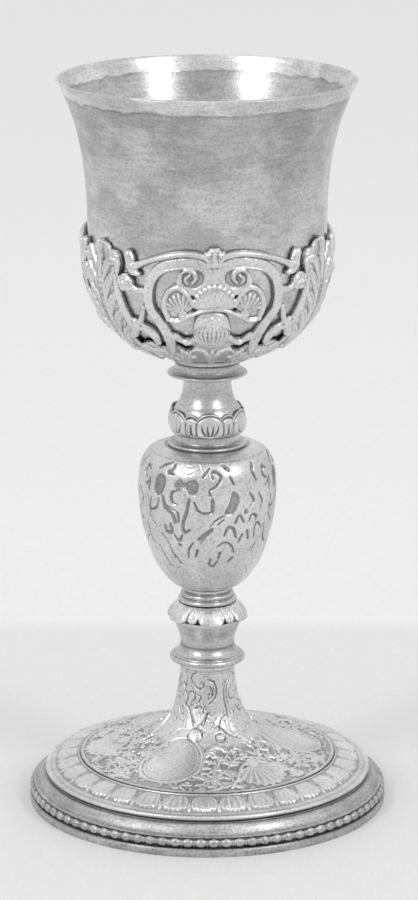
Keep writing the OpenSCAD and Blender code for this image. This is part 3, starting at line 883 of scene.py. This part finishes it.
def carve_basket(wall):
    """Three mirrored motifs of C-scrolls, shells and a gadrooned boss, with plumes between them."""
    wall.gap[:] = -FAR
    s0 = wall.s_at(175)
    axes = (3.3, 123.3, 243.3)

    def spot(*points):
        return laid_flat(wall, s0, wall.s_at, points)

    def line(*points):
        return smooth(spot(*points), 0.4)

    band = line((15.5, 184.5), (16.0, 181.6), (12.5, 179.4), (7.5, 179.3), (3.8, 181.3), (2.6, 184.4),
                (5.2, 187.0), (10, 187.9), (17, 187.5), (24.5, 186), (29.6, 182), (31.4, 176.5),
                (30.8, 172.5), (28.2, 169.6), (25.4, 165.8), (24.4, 161.5), (27, 157))
    moulding = line((1.5, 187.4), (4.5, 189.9), (11.6, 190.9), (19.6, 190.3), (27.9, 188.7),
                    (34.4, 187),
                    (38.2, 185.9), (41, 187.2), (42.6, 190))
    strands = [
        (band, (0.7, 1.1, 1.5, 1.9, 1.9, 1.7, 1.6, 1.6, 1.7, 1.4), 1.15, "channel"),
        (moulding, (0.8, 1.15, 1.1, 1.05, 1.0, 1.3, 0.6), 1.5, "round"),
        (line((14.8, 184.8), (12.5, 185.9), (9.4, 185.4), (8.4, 183.4), (10, 181.9)),
         (0.5, 0.9, 0.9, 0.6), 1.5, "round"),
        (line((11.2, 184.3), (13.2, 183), (12.4, 181.6)), (0.6, 0.7, 0.3), 1.2, "round"),
        (line((36, 183.4), (38.5, 184.2), (41.5, 185.5)), (0.8, 1.6, 1.3), 1.2, "round"),
        (line((22.3, 169.6), (23.8, 174), (21.6, 178.4), (16.6, 180.2), (12.2, 177.9), (9.6, 174.6)),
         (0.9, 0.95, 1.0, 1.0, 0.9, 0.7), 1.35, "round"),
        (line((20.5, 169.4), (16.5, 169.5), (11, 171.5), (5, 173.2), (0, 173.7)), (0.9, 0.8, 0.8, 0.8),
         1.7, "round"),
        (line((0, 187.5), (0, 184), (0, 180)), (1.1, 0.9, 1.2), 1.0, "round"),
        (line((8.5, 162.6), (12, 161.6), (17, 161.6), (21, 163)), (1.5, 1.2, 1.2, 1.5), 0.7, "round"),
        (line((27.4, 168.5), (25.4, 163.6), (26.2, 158.5), (31, 155.4), (38, 155.6), (46, 157.8)),
         (1.4, 1.3, 1.3, 1.1, 1.2, 1.6), 1.2, "channel"),
        (line((32.4, 160.7), (33.4, 163.4), (37.5, 165.4), (43, 166.4)), (1.0, 1.9, 1.7, 2.2), 1.5,
         "round"),
        (line((35, 172.6), (38.4, 168), (43, 166.8)), (0.9, 1.0, 1.3), 1.0, "round"),
        (line((33, 178.2), (37, 178.2), (40.5, 179)), (1.3, 1.0, 1.2), 0.9, "round"),
        (line((47.4, 186), (49.4, 181), (48.8, 175), (47, 169), (45.5, 165)), (1.0, 1.0, 1.3, 1.6, 1.8),
         1.2, "round"),
        (line((43.5, 165.6), (47.5, 163), (53, 162)), (1.8, 1.8, 2.4), 1.0, "round"),
        (line((41.6, 189.4), (40.6, 187.6), (40.8, 185.5)), (1.6, 1.8, 1.1), 1.7, "round"),
    ]
    for axis in axes:
        for side in (1, -1):
            wall.fill(axis, s0, spot((21.5, 170), (22.8, 174), (20.8, 178), (16.6, 179.6),
                                     (12.8, 177.6), (10, 173.6),
                                     (13, 171), (17, 169.6)), 0.3, side)
            wall.fill(axis, s0, spot((15.2, 184), (14.5, 181), (11, 180), (7, 180.3), (4.6, 182.6),
                                     (5.6, 185.5),
                                     (10, 186.6), (14, 186)), 0.12, side)
            wall.fill(axis, s0, spot((-1, 158.2), (10, 162), (13.4, 161), (14, 159.4), (17, 160),
                                     (20, 159), (22, 161),
                                     (21, 164), (27, 166), (28, 159), (34, 158), (40, 159.2),
                                     (47, 158.6),
                                     (50, 156), (0, 156)), 0.25, side)
            for path, widths, height, form in strands:
                wall.strand(axis, s0, path, widths, height, side, form)
            for turn, z, radius, form in ((16.8, 174.8, 4.0, "shell"), (14.6, 161.8, 2.1, "bud"),
                                          (43.6, 180.2, 3.3, "rosette"), (50.3, 187.2, 2.9, "rosette")):
                at = line((turn - 0.1, z), (turn + 0.1, z))
                grow = 0.5 if form == "bud" else 0.9
                wall.strand(axis, s0, at, (radius * grow,), 0.3, side, "flat")
                spin = axis + side * turn
                s = wall.s_at(z)
                if form == "shell":
                    wall.shell(spin - side * 2, wall.s_at(z - 3.4), 7.4, 9, 1.3, tilt=side * 10)
                elif form == "rosette":
                    wall.rosette(spin, s, radius, 5, 1.7, swirl=side * 1.5)
                else:
                    wall.raised(axis, s0, at, (radius * 0.85,), 1.6, side)
        wall.fill(axis, s0, spot((-10, 174), (-8.6, 177.6), (-4.4, 180), (0, 181), (4.4, 180),
                                 (8.6, 177.6), (10, 174),
                                 (5, 172.8), (0, 173.2), (-5, 172.8)), 1.5, edge=3)
        for i in range(11):
            a = math.radians(-75 + 15 * i)
            turn, z = 9.2 * math.sin(a), 174.6 + 6.1 * math.cos(a)
            bead = line((turn, z), (turn + 0.1, z))
            wall.strand(axis, s0, bead, (0.85,), 1.6)
        for lean in (-6, -3, 0, 3, 6):
            wall.carved(axis, s0, line((lean * 0.7, 175.2), (lean, 177.2),
                                       (lean * 1.1, 178.6 - abs(lean) * 0.15)),
                        (0.12, 0.26, 0.12), 0.4)
        # the round gadrooned boss under the arc
        wall.fill(axis - 1.0, s0, spot((-9.4, 167.6), (-6.4, 171.6), (0, 173), (6.4, 171.6),
                                       (9.4, 167.6), (9.4, 163.4),
                                       (6.4, 160.4), (0, 159.2), (-6.4, 160.4),
                                       (-9.4, 163.4)), 2.4, edge=6)
        for i in range(-4, 5):
            lean = i * 2.0
            wall.carved(axis - 1.0, s0, line((lean * 0.75, 169.6 - abs(i) * 0.4), (lean * 1.1, 165),
                                             (lean * 0.5, 160)),
                        (0.16, 0.4, 0.14), 0.75)
        for i in range(7):
            a = math.radians(i * 360 / 7)
            z = 169.4 + 1.7 * math.cos(a)
            dot = line((3.6 * math.sin(a), z), (3.7 * math.sin(a), z))
            wall.raised(axis - 1.0, s0, dot, (0.5,), 2.9)
        for side in (1, -1):
            for points in (((23.5, 163), (22.4, 160.4)), ((25.4, 167.4), (24, 165)),
                           ((33.4, 161.6), (35, 163.8), (39, 165)),
                           ((48.6, 184), (49, 179), (48, 174)), ((31, 157), (36, 156.6), (42, 157.4))):
                wall.carved(axis, s0, line(*points), (0.14, 0.3, 0.12), 0.5, side)
            for a, z in ((45, 171.6), (47, 175.4), (43.6, 167.4), (38.6, 166.4), (52.4, 183.2),
                         (46.4, 165.2)):
                wall.carved(axis, s0, line((a, z), (a + 0.3, z)), (0.55,), 0.7, side)
        # the finial on the axis
        wall.strand(axis, s0, line((0, 188), (0, 191.4)), (1.7, 2.2), 2.0)
        for a, z in ((-3.1, 190.6), (3.1, 190.6), (0, 192.0)):
            wall.strand(axis, s0, line((a, z), (a * 1.15, z + 0.5)), (1.1, 0.9), 2.2)
        wall.carved(axis, s0, line((-1.3, 188.4), (-1.2, 191.6)), (0.25, 0.35), 0.7)
        wall.carved(axis, s0, line((1.3, 188.4), (1.2, 191.6)), (0.25, 0.35), 0.7)

        # a plume of acanthus between two motifs
        plume = axis + 60
        wall.fill(plume, s0, spot((-9.5, 164), (-10, 172), (-8.4, 180), (-8.6, 187), (-5.5, 191),
                                  (0, 192), (5.5, 191),
                                  (8.6, 187), (8.4, 180), (10, 172), (9.5, 164), (7, 157), (0, 156),
                                  (-7, 157)), 0.5)
        for side in (1, -1):
            for z, reach, lift, w in ((160, 12.5, 6, 1.7), (165, 12, 7, 1.7), (170.5, 11, 7.5, 1.6),
                                      (176, 9.8, 8.2, 1.5),
                                      (181, 8.0, 8.6, 1.4)):
                blade = line((0.8, z - 3), (reach * 0.45, z + lift * 0.3),
                             (reach * 0.86, z + lift * 0.7), (reach, z + lift))
                wall.strand(plume, s0, blade, (0.7, w, w * 1.1, 0.5), 1.5, side)
                wall.carved(plume, s0, blade[2:-3], (0.25, 0.3, 0.15), 0.6, side)
        wall.strand(plume, s0, line((0, 156.5), (0, 170), (0, 184), (0, 191.6)), (1.3, 2.0, 2.4, 1.0),
                    1.9)
        for lean in (-1.3, 0, 1.3):
            wall.carved(plume, s0, line((lean * 0.4, 160), (lean, 176), (lean * 1.5, 188)),
                        (0.15, 0.3, 0.2), 0.6)
        # the openings either side of the boss's foot
        for side in (1, -1):
            wall.slit(axis, s0, line((12.6, 159.5), (16.8, 158.9), (20.6, 159.7)), (0.85, 1.6, 1.0),
                      side)
    # the leafy cup at the bottom
    rows = wall.s < wall.s_at(157.6)
    wall.gap[rows] = np.maximum(wall.gap[rows], (wall.s_at(157.6) - wall.s[rows])[:, None])
    curls = [(0.6, [(1.5, 153), (3.5, 157), (9, 158.8), (14, 157.6), (15, 155.6), (12, 155.2)]),
             (0.55, [(19, 158.4), (16, 156), (18, 153), (24, 153.4), (25, 155.6)]),
             (0.6, [(28, 153), (31, 156.4), (38, 157.4), (44, 156), (42, 154)]),
             (0.6, [(48, 158), (51, 155), (58, 153.4)])]
    for axis in axes:
        for side in (1, -1):
            for width, points in curls:
                wall.raised(axis, s0, line(*points), (width, width, width, width * 0.7), 1.1, side)
        for deg in (0, 20, 35, 60, 85, 100):
            wall.raised(axis + deg, s0, line((0, 151.6), (0, 154.5), (0, 158)), (0.8, 1.9, 0.5), 1.0)
            for lean in (-5, 5):
                wall.raised(axis + deg, s0, line((0, 151.6), (lean * 0.6, 154.6), (lean, 156.6)),
                            (0.6, 1.1, 0.4), 0.9)
            wall.carved(axis + deg, s0, line((0, 152), (0, 157)), (0.15, 0.3, 0.1), 0.5)


# ---------------------------------------------------------------- the pieces

def turned(name, node, runs, inner, material, step=0.4, around=240):
    """A plain turned piece in place of its CAD node."""
    finish_piece(ring_solid(name, Wall(runs, step, around), inner), material, node)


def bored(top, z1, z0, foot=BORE):
    """A ring's inner side: in from the radius top, down the rod's bore, and out to the foot's."""
    runs = [[(top, z1), (BORE, z1)], [(BORE, z1), (BORE, z0)]]
    return runs if foot == BORE else runs + [[(BORE, z0), (foot, z0)]]


def bowl(material):
    """The thin-walled cup: a belly, a flaring side and a rolled lip, with shallow dents."""
    boss, waist, waist_z = 9.4, 38.2, 186.0
    edge, belly_h, power = 1.0, 34.8, 2.7
    top = LIP - edge / 2

    def side(inset):
        drop = [(boss - inset) / (waist - inset)] + list(np.cos(np.radians(np.linspace(72, 4, 14))))
        belly = [((waist - inset) * c,
                  waist_z - (belly_h - inset) * math.sin(math.acos(c)) ** (2 / power)) for c in drop]
        t = np.linspace(0, 1, 12)[1:]
        flare = [(waist - inset + (LIP_RADIUS - waist) * v ** 3, waist_z + (top - waist_z) * v)
                 for v in t]
        return belly + flare

    rim = [arc(LIP_RADIUS - edge / 2, top, edge / 2, *turn) for turn in ((0, 90), (90, 170))]
    outer = side(0)
    wall = Wall([[(0.4, outer[0][1]), (boss, outer[0][1])], outer] + rim, 1.0, 360)
    turn, up = wall.phi[None, :], wall.s[:, None]
    for _ in range(9):
        around, along = rng.integers(1, 7), rng.uniform(0.02, 0.12)
        start = rng.uniform(0, TURN, 2)
        wall.h += 0.035 * np.sin(around * turn + start[0]) * np.sin(along * up + start[1])
    wall.h *= np.clip(up / 20, 0, 1)
    inner = side(edge)[::-1]
    back = [[(LIP_RADIUS - edge, top)] + inner[1:], [inner[-1], (0.4, inner[-1][1])]]
    finish_piece(ring_solid("bowl", wall, back, poles=True), material, "cup")


def stem(plain):
    """The plain turned rings and spools on the rod, from the foot up to the basket."""
    z0, z1, r = extent("stem_flange")
    turned("stem_flange_ring", "stem_flange",
           [[(8.8, z0), (r - 1.2, z0 - 0.02)], arc(r - 1.05, z0 + 1.05, 1.05, -90, 55),
            [(r - 0.45, z0 + 1.91), (r - 0.85, z0 + 1.95)], arc(r - 1.2, z0 + 2.1, 0.38, -20, 120),
            [(r - 1.39, z0 + 2.43), (r - 2.2, z0 + 3.1), (9.5, z0 + 4.0), (9.1, z0 + 4.9), (8.9, z1)]],
           bored(8.9, z1, z0, 8.8), plain, step=0.25)
    z0, z1, _ = extent("lower_spool")
    turned("spool", "lower_spool",
           [[(8.9, z0), (8.85, z0 + 1.5), (9.3, z0 + 3.6), (10.1, z0 + 5.5), (10.9, z0 + 7.7)],
            [(10.9, z0 + 7.7), (10.9, z0 + 8.8)], [(10.9, z0 + 8.8), (8.2, z0 + 11.6), (7.6, z1)]],
           bored(7.6, z1, z0, 8.9), plain)
    z0, z1, _ = extent("knop_base_rings")
    step, bead = (z1 - z0) / 3, 0.85
    rounds = [arc(ring - bead, z0 + step * (i + 0.5), bead, -80, 80)
              for i, ring in enumerate((9.6, 8.8, 8.1))]
    turned("knop_rings", "knop_base_rings", rounds,
           [[rounds[-1][-1], (BORE, z1)], [(BORE, z1), (BORE, z0)], [(BORE, z0), rounds[0][0]]],
           plain, step=0.25)
    z0, z1, r = extent("knop_collar")
    turned("knop_dish", "knop_collar",
           [[(BORE, z0), (r - 0.9, z0)], arc(r - 0.6, z0 + 0.6, 0.6, -70, 95),
            [(r - 0.66, z0 + 1.15), (r - 1.2, z0 + 1.2)],
            [(r - 1.2, z0 + 1.2), (r - 2.0, z0 + 1.7), (10.65, z0 + 2.7), (10.5, z1)]],
           bored(10.5, z1, z0), plain, step=0.3)
    z0, z1, _ = extent("neck")
    turned("neck_spool", "neck",
           [[(10.0, z0), (10.9, z0 + 3.4)],
            [(10.9, z0 + 3.4), (11.2, z0 + 5.4), (10.6, z0 + 7), (9.5, z0 + 8.6),
             (8.6, z0 + 10.4), (8.05, z0 + 12.4), (7.8, z0 + 14.6), (7.7, z1)]],
           [[(7.7, z1), (6.5, z1)], [(6.5, z1), (7.2, z0 + 11), (8.6, z0 + 6), (8.8, z0)],
            [(8.8, z0), (10.0, z0)]], plain)
    z0, z1, r = extent("drip_flange")
    turned("drip_ring", "drip_flange",
           [[(BORE, z0), (7.7, z0)], [(7.7, z0), (r - 0.8, z0 + 0.95)],
            arc(r - 0.45, z0 + 1.4, 0.45, -80, 90), [(r - 0.45, z0 + 1.85), (r - 0.9, z0 + 1.8)],
            [(r - 0.9, z0 + 1.8), (11.3, z0 + 2.15), (10.7, z0 + 2.9), (10.5, z0 + 3.9), (10.4, z1)]],
           bored(10.4, z1, z0), plain, step=0.3)
    z0, z1, r = extent("calyx_base_ring")
    turned("basket_ring", "calyx_base_ring",
           [[(BORE, z0), (r - 0.95, z0)], arc(r - 0.95, (z0 + z1) / 2, 0.95, -90, 90)],
           bored(r - 0.95, z1, z0), plain, step=0.25)


def knop(material):
    """The hollow urn of the knop, engraved."""
    z0, z1, _ = extent("knop")
    profile = [(8.2, z0), (10.5, z0 + 0.7), (12.6, z0 + 2.3), (15.0, z0 + 5.3), (17.3, z0 + 9.1),
               (19.4, z0 + 14.6), (21.1, z0 + 20.8), (22.1, z0 + 27), (22.5, z0 + 32.5),
               (22.3, z0 + 38), (21.4, z0 + 42.2), (19.4, z0 + 45.4), (16.8, z0 + 46.9), (13.5, z1)]
    wall = Wall([profile], 0.32, 430)
    engrave_knop(wall)
    inner = [(r - 1.2, z) for r, z in profile[3:-2]]
    back = [[(13.5, z1), (BORE, z1)], [(BORE, z1), (BORE, z1 - 1.2)],
            [(BORE, z1 - 1.2), (13, z1 - 1.3)] + inner[::-1] + [(8.0, z0 + 1.3), (BORE, z0 + 1.2)],
            [(BORE, z0 + 1.2), (BORE, z0)], [(BORE, z0), (8.2, z0)]]
    piece = thin_out(ring_solid("knop_vase", wall, back))
    finish_piece(piece, material, "knop")


def foot(material):
    """The raised sheet of the foot: the trumpet with its dome, and the leaf band round it."""
    rise = [(42.2, 15.6), (36, 16.9), (30, 18.2), (24.5, 19.9), (19.5, 22.2), (15.5, 24.9), (12.9, 27.6),
            (11.45, 30.2), (10.6, 33), (10.0, 36), (9.45, 39.5), (9.0, 43), (8.8, 45.4), (8.8, FOOT_TOP)]
    dome = Wall([rise], 0.36, 720)
    engrave_dome(dome)
    back = [(r - 0.62, z - 0.75) for r, z in rise]
    back = [[(8.8, FOOT_TOP), (7.9, FOOT_TOP)], [(7.9, FOOT_TOP)] + back[-2::-1], [back[0], (42.2, 15.6)]]
    piece = thin_out(ring_solid("foot_dome", dome, back))
    finish_piece(piece, material, "foot")

    rim = arc(FOOT_RADIUS - 0.8, 10.95, 0.8, -60, 70)
    slope = [(51.2, 11.62), (50.6, 11.95), (49, 13.1), (46, 14.15), (42.9, 14.85)]
    ring = [(42.9, 14.85), (42.75, 15.3), (42.45, 15.35), (42.2, 15.25)]
    border = Wall([rim, [rim[-1], (51.9, 11.45), (51.2, 11.62)], slope, ring], 0.3, 1120)
    engrave_border(border)
    back = [[(42.2, 15.25), (42.0, 14.6)],
            [(42.0, 14.6), (45.8, 13.4), (48.6, 12.3), (50.4, 11.1), (51.6, 10.3)],
            [(51.6, 10.3), (52.0, 9.6)], [(52.0, 9.6), rim[0]]]
    finish_piece(ring_solid("foot_border", border, back), material, "foot")


def base(plain):
    """The flat flange, the hollow moulding and the stamped border wire."""
    _, t, r = extent("base_flange")
    turned("base_plate", "base_flange",
           [[(51.5, 0), (r - 0.15, 0)], [(r - 0.15, 0), (r, 0.4), (r, t - 0.7), (r - 0.45, t)]],
           [[(r - 0.45, t), (51.5, t)], [(51.5, t), (51.5, 0)]], plain, around=480)
    _, z, _ = extent("rim_wall")
    hollow = [(57.55, 5.9), (57.6, 6.25), (56.6, 6.6), (55.9, 7.3), (55.3, 8.3), (54.6, 9.1), (53.9, z)]
    turned("rim_cavetto", "cavetto_moulding", [hollow],
           [[(53.9, z), (53.2, z)], [(53.2, z), (55.8, 5.9)], [(55.8, 5.9), (57.55, 5.9)]],
           plain, step=0.3, around=480)
    bead = arc(56.6, 4.35, 1.8, -72, 74)
    wall = Wall([bead], 0.22, 1056)
    egg_and_dart(wall)
    top, bottom = (55.65, bead[-1][1]), (55.65, bead[0][1])
    back = [[bead[-1], top], [top, bottom], [bottom, bead[0]]]
    finish_piece(ring_solid("egg_and_dart", wall, back), plain, "egg_and_dart_wire")


def leaf_rings(material):
    """The hanging leaf skirt under the knop, and the upright leaves over it."""
    z0, z1, _ = extent("leaf_skirt")
    line = [(12.95, z0), (12.3, z0 + 1.6), (11.3, z0 + 3.4), (10.2, z0 + 4.7), (9.5, z1)]
    skirt = Wall([line], 0.22, 420)
    carve_skirt(skirt)
    finish_piece(pierced_solid("skirt_leaves", skirt, 0.9), material, "leaf_skirt")
    z0, z1, _ = extent("upper_leaf_ring")
    line = [(11.3, z0 + 0.35), (12.2, z0 + 1.8), (12.5, z0 + 3.6), (12.3, z0 + 5.6), (12.0, z0 + 7.2),
            (12.15, z1)]
    ring = Wall([[(10.4, z0), line[0]], line], 0.22, 400)
    carve_upper_ring(ring)
    finish_piece(pierced_solid("upper_leaves", ring, 0.9), material, "upper_leaf_ring")


def basket(material):
    """The openwork calyx round the lower bowl."""
    waist_z, r, h, power = 186.0, 39.4, 37.5, 2.4
    first = math.acos(12 / r)
    belly = [(r * math.cos(a), waist_z - h * math.sin(a) ** (2 / power))
             for a in np.linspace(first, 0.04, 18)]
    top = [(r, waist_z), (r - 0.05, 190), (r, extent("calyx")[1])]
    wall = Wall([[(10.2, 149.9), (11.0, 149.95)] + belly[1:] + top], 0.33, 760)
    carve_basket(wall)
    finish_piece(thin_out(pierced_solid("basket", wall, 0.8)), material, "calyx")


def threaded_rod(material):
    """The tie rod, with its real thread at the lower end."""
    z0, z1, r = extent("tie_rod")
    pitch, depth, chamfer, thread_top = 1.0, 0.45, 0.6, z0 + 14
    n, rows = 48, 300
    z = np.r_[np.linspace(z0, thread_top, rows), np.linspace(thread_top + 1, z1, 12)][:, None]
    phi = np.arange(n) * TURN / n
    turn = ((z - z0) / pitch - phi / TURN) % 1.0
    cut = depth * (1 - np.abs(2 * turn - 1) * 1.15).clip(0, 1)
    cut *= np.clip((thread_top - z) / pitch, 0, 1)
    radius = r - chamfer + np.clip((z - z0) / chamfer, 0, 1) * chamfer - cut
    # painted shade: the tone darkens in the thread's grooves
    piece = grid_mesh("threaded_rod", round_axis(radius, z, phi), 0.5 - cut * 0.5, poles=True)
    finish_piece(piece, material, "tie_rod")


# ---------------------------------------------------------------- the scene

TABLE_GREY, WALL_GREY, FRONT_SHADE_GREY, ROOM_LIGHT = 0.79, 0.86, 0.72, 1.06


def floor():
    """A pale table with a faint weave, a soft step in tone behind the foot, and painted shade darkening it
    far in front.
    """
    size, seam_y, blur = 3.4, 0.184, 0.008
    mesh = bpy.data.meshes.new("floor")
    ys = [-size, seam_y, size]
    mesh.from_pydata([(x, y, 0) for y in ys for x in (-size, size)], [], [(0, 1, 3, 2), (2, 3, 5, 4)])
    piece = bpy.data.objects.new("floor", mesh)
    bpy.context.scene.collection.objects.link(piece)
    material, tree, bsdf = shader("pale_table")
    place = add(tree, "ShaderNodeTexCoord").outputs["Object"]
    y = add(tree, "ShaderNodeSeparateXYZ", {"Vector": place}).outputs["Y"]
    behind = add(tree, "ShaderNodeMapRange",
                 {"Value": y, "From Min": seam_y - blur, "From Max": seam_y + blur}).outputs[0]
    cloth = ramp(tree, behind, [(0.0, TABLE_GREY), (1.0, WALL_GREY)])
    # painted shade: the table turns darker towards the front, out of view, so the silver reflects something
    # dark there
    ahead = add(tree, "ShaderNodeMapRange", {"Value": y, "From Min": -0.9, "From Max": -0.25}).outputs[0]
    cloth = times(tree, cloth, ramp(tree, ahead, [(0.0, FRONT_SHADE_GREY / TABLE_GREY), (1.0, 1.0)]))
    for stretch in ((0.12, 1, 1), (1, 0.12, 1)):
        threads = noise(tree, place, 0.9, 2, stretch)
        cloth = times(tree, cloth, ramp(tree, threads, [(0.3, 0.965), (0.7, 1.0)]))
    tree.links.new(cloth, bsdf.inputs["Base Color"])
    bsdf.inputs["Roughness"].default_value = 0.9
    mesh.materials.append(material)


def worn_gilding(tree, place, colour):
    """Outside, the bowl is duller below a ragged line where its bright lip band has worn off."""
    z = add(tree, "ShaderNodeSeparateXYZ", {"Vector": place}).outputs["Z"]
    ragged = noise(tree, place, 7, 5, (1, 1, 0.6))
    wander = add(tree, "ShaderNodeMath", {0: ragged, 1: 0.0035, 2: z}, operation="MULTIPLY_ADD").outputs[0]
    line = (LIP - 3.3) * MM
    level = add(tree, "ShaderNodeMapRange",
                {"Value": wander, "From Min": line - 0.05, "From Max": line + 0.0005}).outputs[0]
    band = ramp(tree, level, [(0.0, 1.06), (0.4, 1.0), (0.6, 0.84), (0.97, 0.8), (0.99, 0.62), (1.0, 1.14)])
    worn = ramp(tree, noise(tree, place, 24, 9, (1, 1, 1.5), 0.68),
                [(0.4, 0.88), (0.49, 0.93), (0.51, 1.06), (0.6, 1.14)])
    # the inside of the bowl is made a little brighter than the outside
    normal = add(tree, "ShaderNodeTexCoord").outputs["Normal"]
    outward = add(tree, "ShaderNodeVectorMath", {0: place, 1: (1, 1, 0)}, operation="MULTIPLY").outputs[0]
    facing = add(tree, "ShaderNodeVectorMath", {0: normal, 1: outward},
                 operation="DOT_PRODUCT").outputs["Value"]
    inner = add(tree, "ShaderNodeMapRange", {"Value": facing, "From Min": -0.001, "From Max": 0.001,
                                             "To Min": 1.06, "To Max": 1.0}).outputs[0]
    colour = times(tree, times(tree, colour, band), worn)
    return add(tree, "ShaderNodeVectorMath", {0: colour, "Scale": inner}, operation="SCALE").outputs[0]


def camera():
    """The photograph's view: long lens, looking down a little."""
    data = bpy.data.cameras.new("camera")
    data.lens = 144
    data.clip_end = 20
    down = 14.797
    eye = bpy.data.objects.new("camera", data)
    eye.location = (0.00055, -1.12895, 0.41635)
    eye.rotation_euler = (math.radians(90 - down), 0, 0)
    bpy.context.scene.collection.objects.link(eye)
    bpy.context.scene.camera = eye


def window(name, turn):
    """A soft light in front of the cup, turned to one side and aimed at its middle."""
    elevation, distance, middle = math.radians(35), 2.2, 0.15
    data = bpy.data.lights.new(name, "AREA")
    data.shape = "RECTANGLE"
    data.size, data.size_y, data.energy = 0.42, 0.7, 8
    light = bpy.data.objects.new(name, data)
    flat, a = distance * math.cos(elevation), math.radians(turn)
    light.location = (flat * math.sin(a), -flat * math.cos(a), distance * math.sin(elevation) + middle)
    aim = Vector((0, 0, middle)) - light.location
    light.rotation_euler = aim.to_track_quat("-Z", "Y").to_euler()
    bpy.context.scene.collection.objects.link(light)


def room():
    """The light all round: brighter above, darker behind the camera."""
    world = bpy.data.worlds.new("room")
    bpy.context.scene.world = world
    world.use_nodes = True
    tree = world.node_tree
    tree.nodes.clear()
    way = add(tree, "ShaderNodeTexCoord").outputs["Generated"]
    parts = add(tree, "ShaderNodeSeparateXYZ", {"Vector": way})
    light = None
    for axis, stops in (("Z", [(0.0, 0.7), (0.5, 0.7), (0.62, 0.85), (1.0, 1.0)]),
                        ("Y", [(0.0, 0.74), (0.12, 0.78), (0.35, 0.98), (0.6, 0.85), (1.0, 1.0)])):
        share = add(tree, "ShaderNodeMapRange", {"Value": parts.outputs[axis], "From Min": -1.0}).outputs[0]
        tone = ramp(tree, share, stops)
        light = times(tree, light, tone) if light else tone
    back = add(tree, "ShaderNodeBackground", {"Color": light, "Strength": ROOM_LIGHT})
    out = add(tree, "ShaderNodeOutputWorld")
    tree.links.new(back.outputs[0], out.inputs["Surface"])
    bpy.context.scene.view_settings.view_transform = "Standard"


camera()
floor()
room()
window("window_left", -45)
window("window_right", 45)

cup_metal = silver("cup_silver", 0.7, 0.24, 0.2, relief=False, scratches=0.14, extra=worn_gilding)
cast_metal = silver("cast_silver", 0.88, 0.28, 0.2, crevice_shade=0.24)
plain_metal = silver("turned_silver", 0.76, 0.25, 0.22, scratches=0.12, crevice_shade=0.16)
base_metal = silver("base_silver", 0.7, 0.36, 0.3, scratches=0.2)
wall_metal = silver("rim_wall_silver", 0.7, 0.3, 0.25, relief=False)
carved_metal = silver("engraved_silver", 0.89, 0.31, 0.22, crevice_shade=0.32)
# a darker, rougher grey metal for the inner parts under the bowl and in the stem
hidden_metal = silver("brazed_metal", 0.42, 0.45, 0.4, relief=False)
steel = silver("rod_steel", 0.35, 0.4, 0.4)
nut_steel = silver("nut_steel", 0.38, 0.42, 0.45, relief=False)

bowl(cup_metal)
stem(plain_metal)
knop(carved_metal)
foot(carved_metal)
base(base_metal)
leaf_rings(cast_metal)
basket(cast_metal)
threaded_rod(steel)
for node, metal in (("bowl_boss", hidden_metal), ("bearing_plate", hidden_metal),
                    ("clamp_washer", hidden_metal), ("clamp_nut", nut_steel), ("rim_wall", wall_metal)):
    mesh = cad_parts[node].data
    mesh.materials.clear()
    mesh.materials.append(metal)
